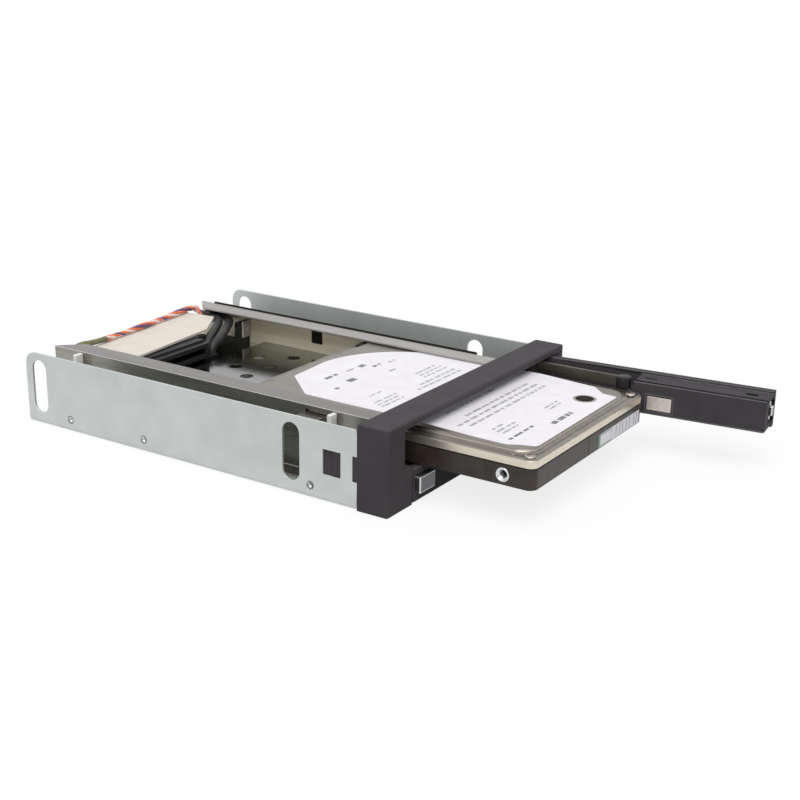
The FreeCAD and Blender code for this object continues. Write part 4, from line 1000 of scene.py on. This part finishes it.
# plain ink bars in rows: y, first x, last x, width
labelPrint = {
    "height": 20.31,
    "ink": 0.02,
    "under": 0.03,
    "bar": (1.4, 4.6),
    "gap": (0.6, 1.1),
    "shortest": 0.5,
    "seed": 7,
    "rows": {
        "greyPrint": ((-71.3, -18.0, 9.9, 0.9), (-76.8, -16.2, 21.2, 1.0), (-79.4, -24.7, 22.1, 1.0),
                      (-82.1, -22.8, 21.6, 1.0), (-88.6, -21.7, -15.2, 0.8), (-90.6, -22.6, -12.5, 0.8),
                      (-92.4, -22.6, -14.0, 0.8), (-91.8, 3.0, 11.0, 0.7), (-93.4, 3.0, 10.0, 0.7),
                      (-44.0, 9.0, 20.0, 0.8), (-46.0, 8.2, 20.8, 0.8), (-48.0, 7.4, 21.0, 0.8),
                      (-51.0, 0.5, 20.5, 0.9), (-53.2, -4.0, 21.5, 0.9), (-45.0, -18.0, -11.0, 0.6),
                      (-49.6, -22.0, -10.7, 0.7), (-51.4, -23.0, -11.4, 0.7), (-53.2, -23.6, -12.0, 0.7),
                      (-30.6, 14.0, 17.6, 1.1), (-36.0, 6.3, 9.6, 1.1), (-25.4, -1.6, 2.0, 1.0)),
        "darkPrint": ((-24.6, -11.8, -5.5, 1.4), (-31.6, -9.6, -6.0, 2.2), (-25.8, 4.6, 7.4, 1.8),
                      (-29.2, 7.3, 11.2, 1.2), (-32.8, -18.0, -16.2, 1.2), (-99.8, -7.6, 4.2, 1.6),
                      (-96.2, -26.0, -12.2, 0.9)),
    },
}


def makeLabelPrint():
    draw = random.Random(labelPrint["seed"])
    low, high = labelPrint["height"] - labelPrint["under"], labelPrint["height"] + labelPrint["ink"]
    for finish, rows in labelPrint["rows"].items():
        bars = []
        for y, x, last, width in rows:
            while x < last - labelPrint["shortest"]:
                end = min(x + draw.uniform(*labelPrint["bar"]), last)
                bars.append(((x, y - width / 2, low), (end, y + width / 2, high)))
                x = end + draw.uniform(*labelPrint["gap"])
        addBoxes("labelPrint." + finish, bars, "drive", "drive_cover", finish)


# paper strip on the drive's front end: a teal patch and ruled white cells
frontStrip = {
    "face": -108.7,
    "paper": 0.06,
    "sunk": 0.02,
    "ink": 0.02,
    "height": (11.2, 15.2),
    "white": (12.6, 31.9),
    "teal": (4.0, 5.3),
    "pale": (5.3, 12.4),
    "borderIn": 0.3,
    "borderHalf": 0.15,
    "rules": (15.9, 18.4, 20.3, 22.9, 25.2, 28.3, 30.1),
    "ruleWidth": 0.28,
    "ruleIn": 0.25,
}


def makeFrontStrip():
    low, high = frontStrip["height"]
    face = frontStrip["face"]
    front, back = face - frontStrip["paper"], face + frontStrip["sunk"]
    inked = front - frontStrip["ink"]
    plain, pale, teal = [((frontStrip[part][0], front, low), (frontStrip[part][1], back, high))
                         for part in ("white", "pale", "teal")]
    (first, last), half, inset = frontStrip["pale"], frontStrip["borderHalf"], frontStrip["borderIn"]
    borders = [((first, inked, z - half), (last, face, z + half)) for z in (low + inset, high - inset)]
    half, inset = frontStrip["ruleWidth"] / 2, frontStrip["ruleIn"]
    rules = [((x - half, inked, low + inset), (x + half, face, high - inset)) for x in frontStrip["rules"]]
    addBoxes("frontStrip", [plain, pale], "drive", "drive_base", "labelPaper")
    addBoxes("frontStripTeal", [teal] + borders, "drive", "drive_base", "tealPrint")
    addBoxes("frontStripRules", rules, "drive", "drive_base", "darkPrint")


# dark strip between the drive's casting and its cover, painted shade standing in for the gap's shadow,
# and the joint on its front end; it stops short of the plug's notch at the rear
coverSeam = {"low": 16.72, "high": 16.97, "corner": 2.6, "cornerSteps": 6, "proud": 0.03, "rearGap": 8.0}
frontJoint = {"at": -2.2, "width": 0.22, "proud": 0.02, "depth": 0.2, "foot": 0.4}


def makeCoverSeam():
    low, high = [Vector(corner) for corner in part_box("drive_cover")]
    high.y -= coverSeam["rearGap"] * mm
    proud = coverSeam["proud"] * mm
    size, middle = high - low, (high + low) / 2
    bm = bmesh.new()
    bmesh.ops.create_grid(bm, x_segments=1, y_segments=1, size=0.5)
    bmesh.ops.scale(bm, verts=bm.verts, vec=(size.x + 2 * proud, size.y + 2 * proud, 1))
    bmesh.ops.translate(bm, verts=bm.verts, vec=(middle.x, middle.y, coverSeam["low"] * mm))
    bmesh.ops.bevel(bm, geom=bm.verts[:], offset=coverSeam["corner"] * mm, affect="VERTICES",
                    segments=coverSeam["cornerSteps"], profile=0.5, material=-1)
    thicken(bm, coverSeam["high"] - coverSeam["low"])
    x, half = frontJoint["at"], frontJoint["width"] / 2
    y, foot = low.y / mm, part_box("drive_casting")[0][2] / mm + frontJoint["foot"]
    addBox(bm, (x - half, y - frontJoint["proud"], foot),
           (x + half, y + frontJoint["depth"], coverSeam["low"]))
    bmesh.ops.recalc_face_normals(bm, faces=bm.faces)
    addPiece("coverSeam", bm, "drive", "drive_base", "foamAndPaintedShade")


# dark discs in the cover's rim, painted shade standing in for its holes, each at x, y, z with its radius,
# and dark bars at its rear
coverHoleShades = {
    "places": ((26.2, -10.7, 19.35, 1.35), (-32.7, -100.0, 19.03, 0.7)),
    "sunk": 0.1,
    "proud": 0.05,
    "dish": ((1, 0.5), (0.9, 1), (0.8, 0.4), (0, 0.3)),  # shares of the radius and of proud
    "steps": 36,
}
coverBars = {"runs": ((-21.4, -19.9), (-19.4, -17.6), (-17.2, -16.2)), "y": (-11.05, -10.35),
             "z": (19.27, 19.37)}


def makeCoverMarks():
    sunk, proud = coverHoleShades["sunk"], coverHoleShades["proud"]
    plugs = []
    for x, y, z, radius in coverHoleShades["places"]:
        outline = [(0, -sunk), (radius, -sunk)]
        outline += [(wide * radius, tall * proud) for wide, tall in coverHoleShades["dish"]]
        plugs.append((outline, (x, y, z), upwards))
    addTurned("coverHoleShades", plugs, "drive", "drive_base", "foamAndPaintedShade", steps=coverHoleShades["steps"])
    (low, high), (front, back) = coverBars["z"], coverBars["y"]
    bars = [((first, front, low), (last, back, high)) for first, last in coverBars["runs"]]
    addBoxes("coverBars", bars, "drive", "drive_cover", "darkPrint")


makeCoverSeam()
makeCoverMarks()
makeLabel()
makeBreather()
makeLabelPrint()
makeFrontStrip()
print("drive label laid")

# white sweep that keeps the object's shadow
studio = {
    "floor": 6.0,
    "glow": 0.82,
    "paper": "FBFAFA",
    "bounce": "ADADAD",
    "ambient": 0.45,
    "lamps": {  # broad soft suns, so that the floor is evenly lit: direction to the lamp, strength, softness
        "overhead": {"towards": (-0.2, -0.3, 1.0), "power": 1.35, "spread": 60},
        "frontLeft": {"towards": (-1.0, -0.35, 1.1), "power": 0.9, "spread": 50},
    },
}
white = (1, 1, 1, 1)


# 1 for rays that show the backdrop: straight to the camera, mirrored, or through something clear
def showsBackdrop(tree):
    path = addNode(tree, "ShaderNodeLightPath").outputs
    either = {0: path["Is Camera Ray"], 1: path["Is Glossy Ray"]}
    seen = addNode(tree, "ShaderNodeMath", {"operation": "MAXIMUM"}, either).outputs[0]
    either = {0: seen, 1: path["Is Transmission Ray"]}
    return addNode(tree, "ShaderNodeMath", {"operation": "MAXIMUM"}, either).outputs[0]


def makeStudio():
    bm = bmesh.new()
    bmesh.ops.create_grid(bm, x_segments=2, y_segments=2, size=studio["floor"] / 2)
    floor = addObject("studioFloor", meshFrom(bm, "studioFloor"))
    material = bpy.data.materials.new("paleStudioFloor")
    tree = emptyTree(material)
    shown = showsBackdrop(tree)
    strength = {"operation": "MULTIPLY", 1: studio["glow"]}
    share = addNode(tree, "ShaderNodeMath", strength, {0: shown}).outputs[0]
    # the floor throws back less light than the camera sees
    tones = {**mixColour, 6: linear(studio["bounce"]), 7: linear(studio["paper"])}
    tone = addNode(tree, "ShaderNodeMix", tones, {0: shown}).outputs[2]
    matt = addNode(tree, "ShaderNodeBsdfDiffuse", None, {"Color": tone}).outputs[0]
    glow = addNode(tree, "ShaderNodeEmission", {"Color": white, "Strength": 1.0}).outputs[0]
    mixed = addNode(tree, "ShaderNodeMixShader", None, {0: share, 1: matt, 2: glow}).outputs[0]
    addNode(tree, "ShaderNodeOutputMaterial", None, {"Surface": mixed})
    floor.data.materials.append(material)

    world = bpy.data.worlds.new("whiteRoom")
    bpy.context.scene.world = world
    tree = emptyTree(world)
    levels = {"To Min": studio["ambient"], "To Max": 1.0}
    level = addNode(tree, "ShaderNodeMapRange", levels, {"Value": showsBackdrop(tree)}).outputs[0]
    sky = addNode(tree, "ShaderNodeBackground", {"Color": white}, {"Strength": level}).outputs[0]
    addNode(tree, "ShaderNodeOutputWorld", None, {"Surface": sky})
    for name, lamp in studio["lamps"].items():
        light = bpy.data.lights.new(name, "SUN")
        light.energy = lamp["power"]
        light.angle = math.radians(lamp["spread"])
        spot = addObject(name, light)
        spot.rotation_euler = Vector(lamp["towards"]).to_track_quat("Z", "Y").to_euler()


makeStudio()
bpy.context.scene.view_settings.view_transform = "Standard"
print("studio lit")
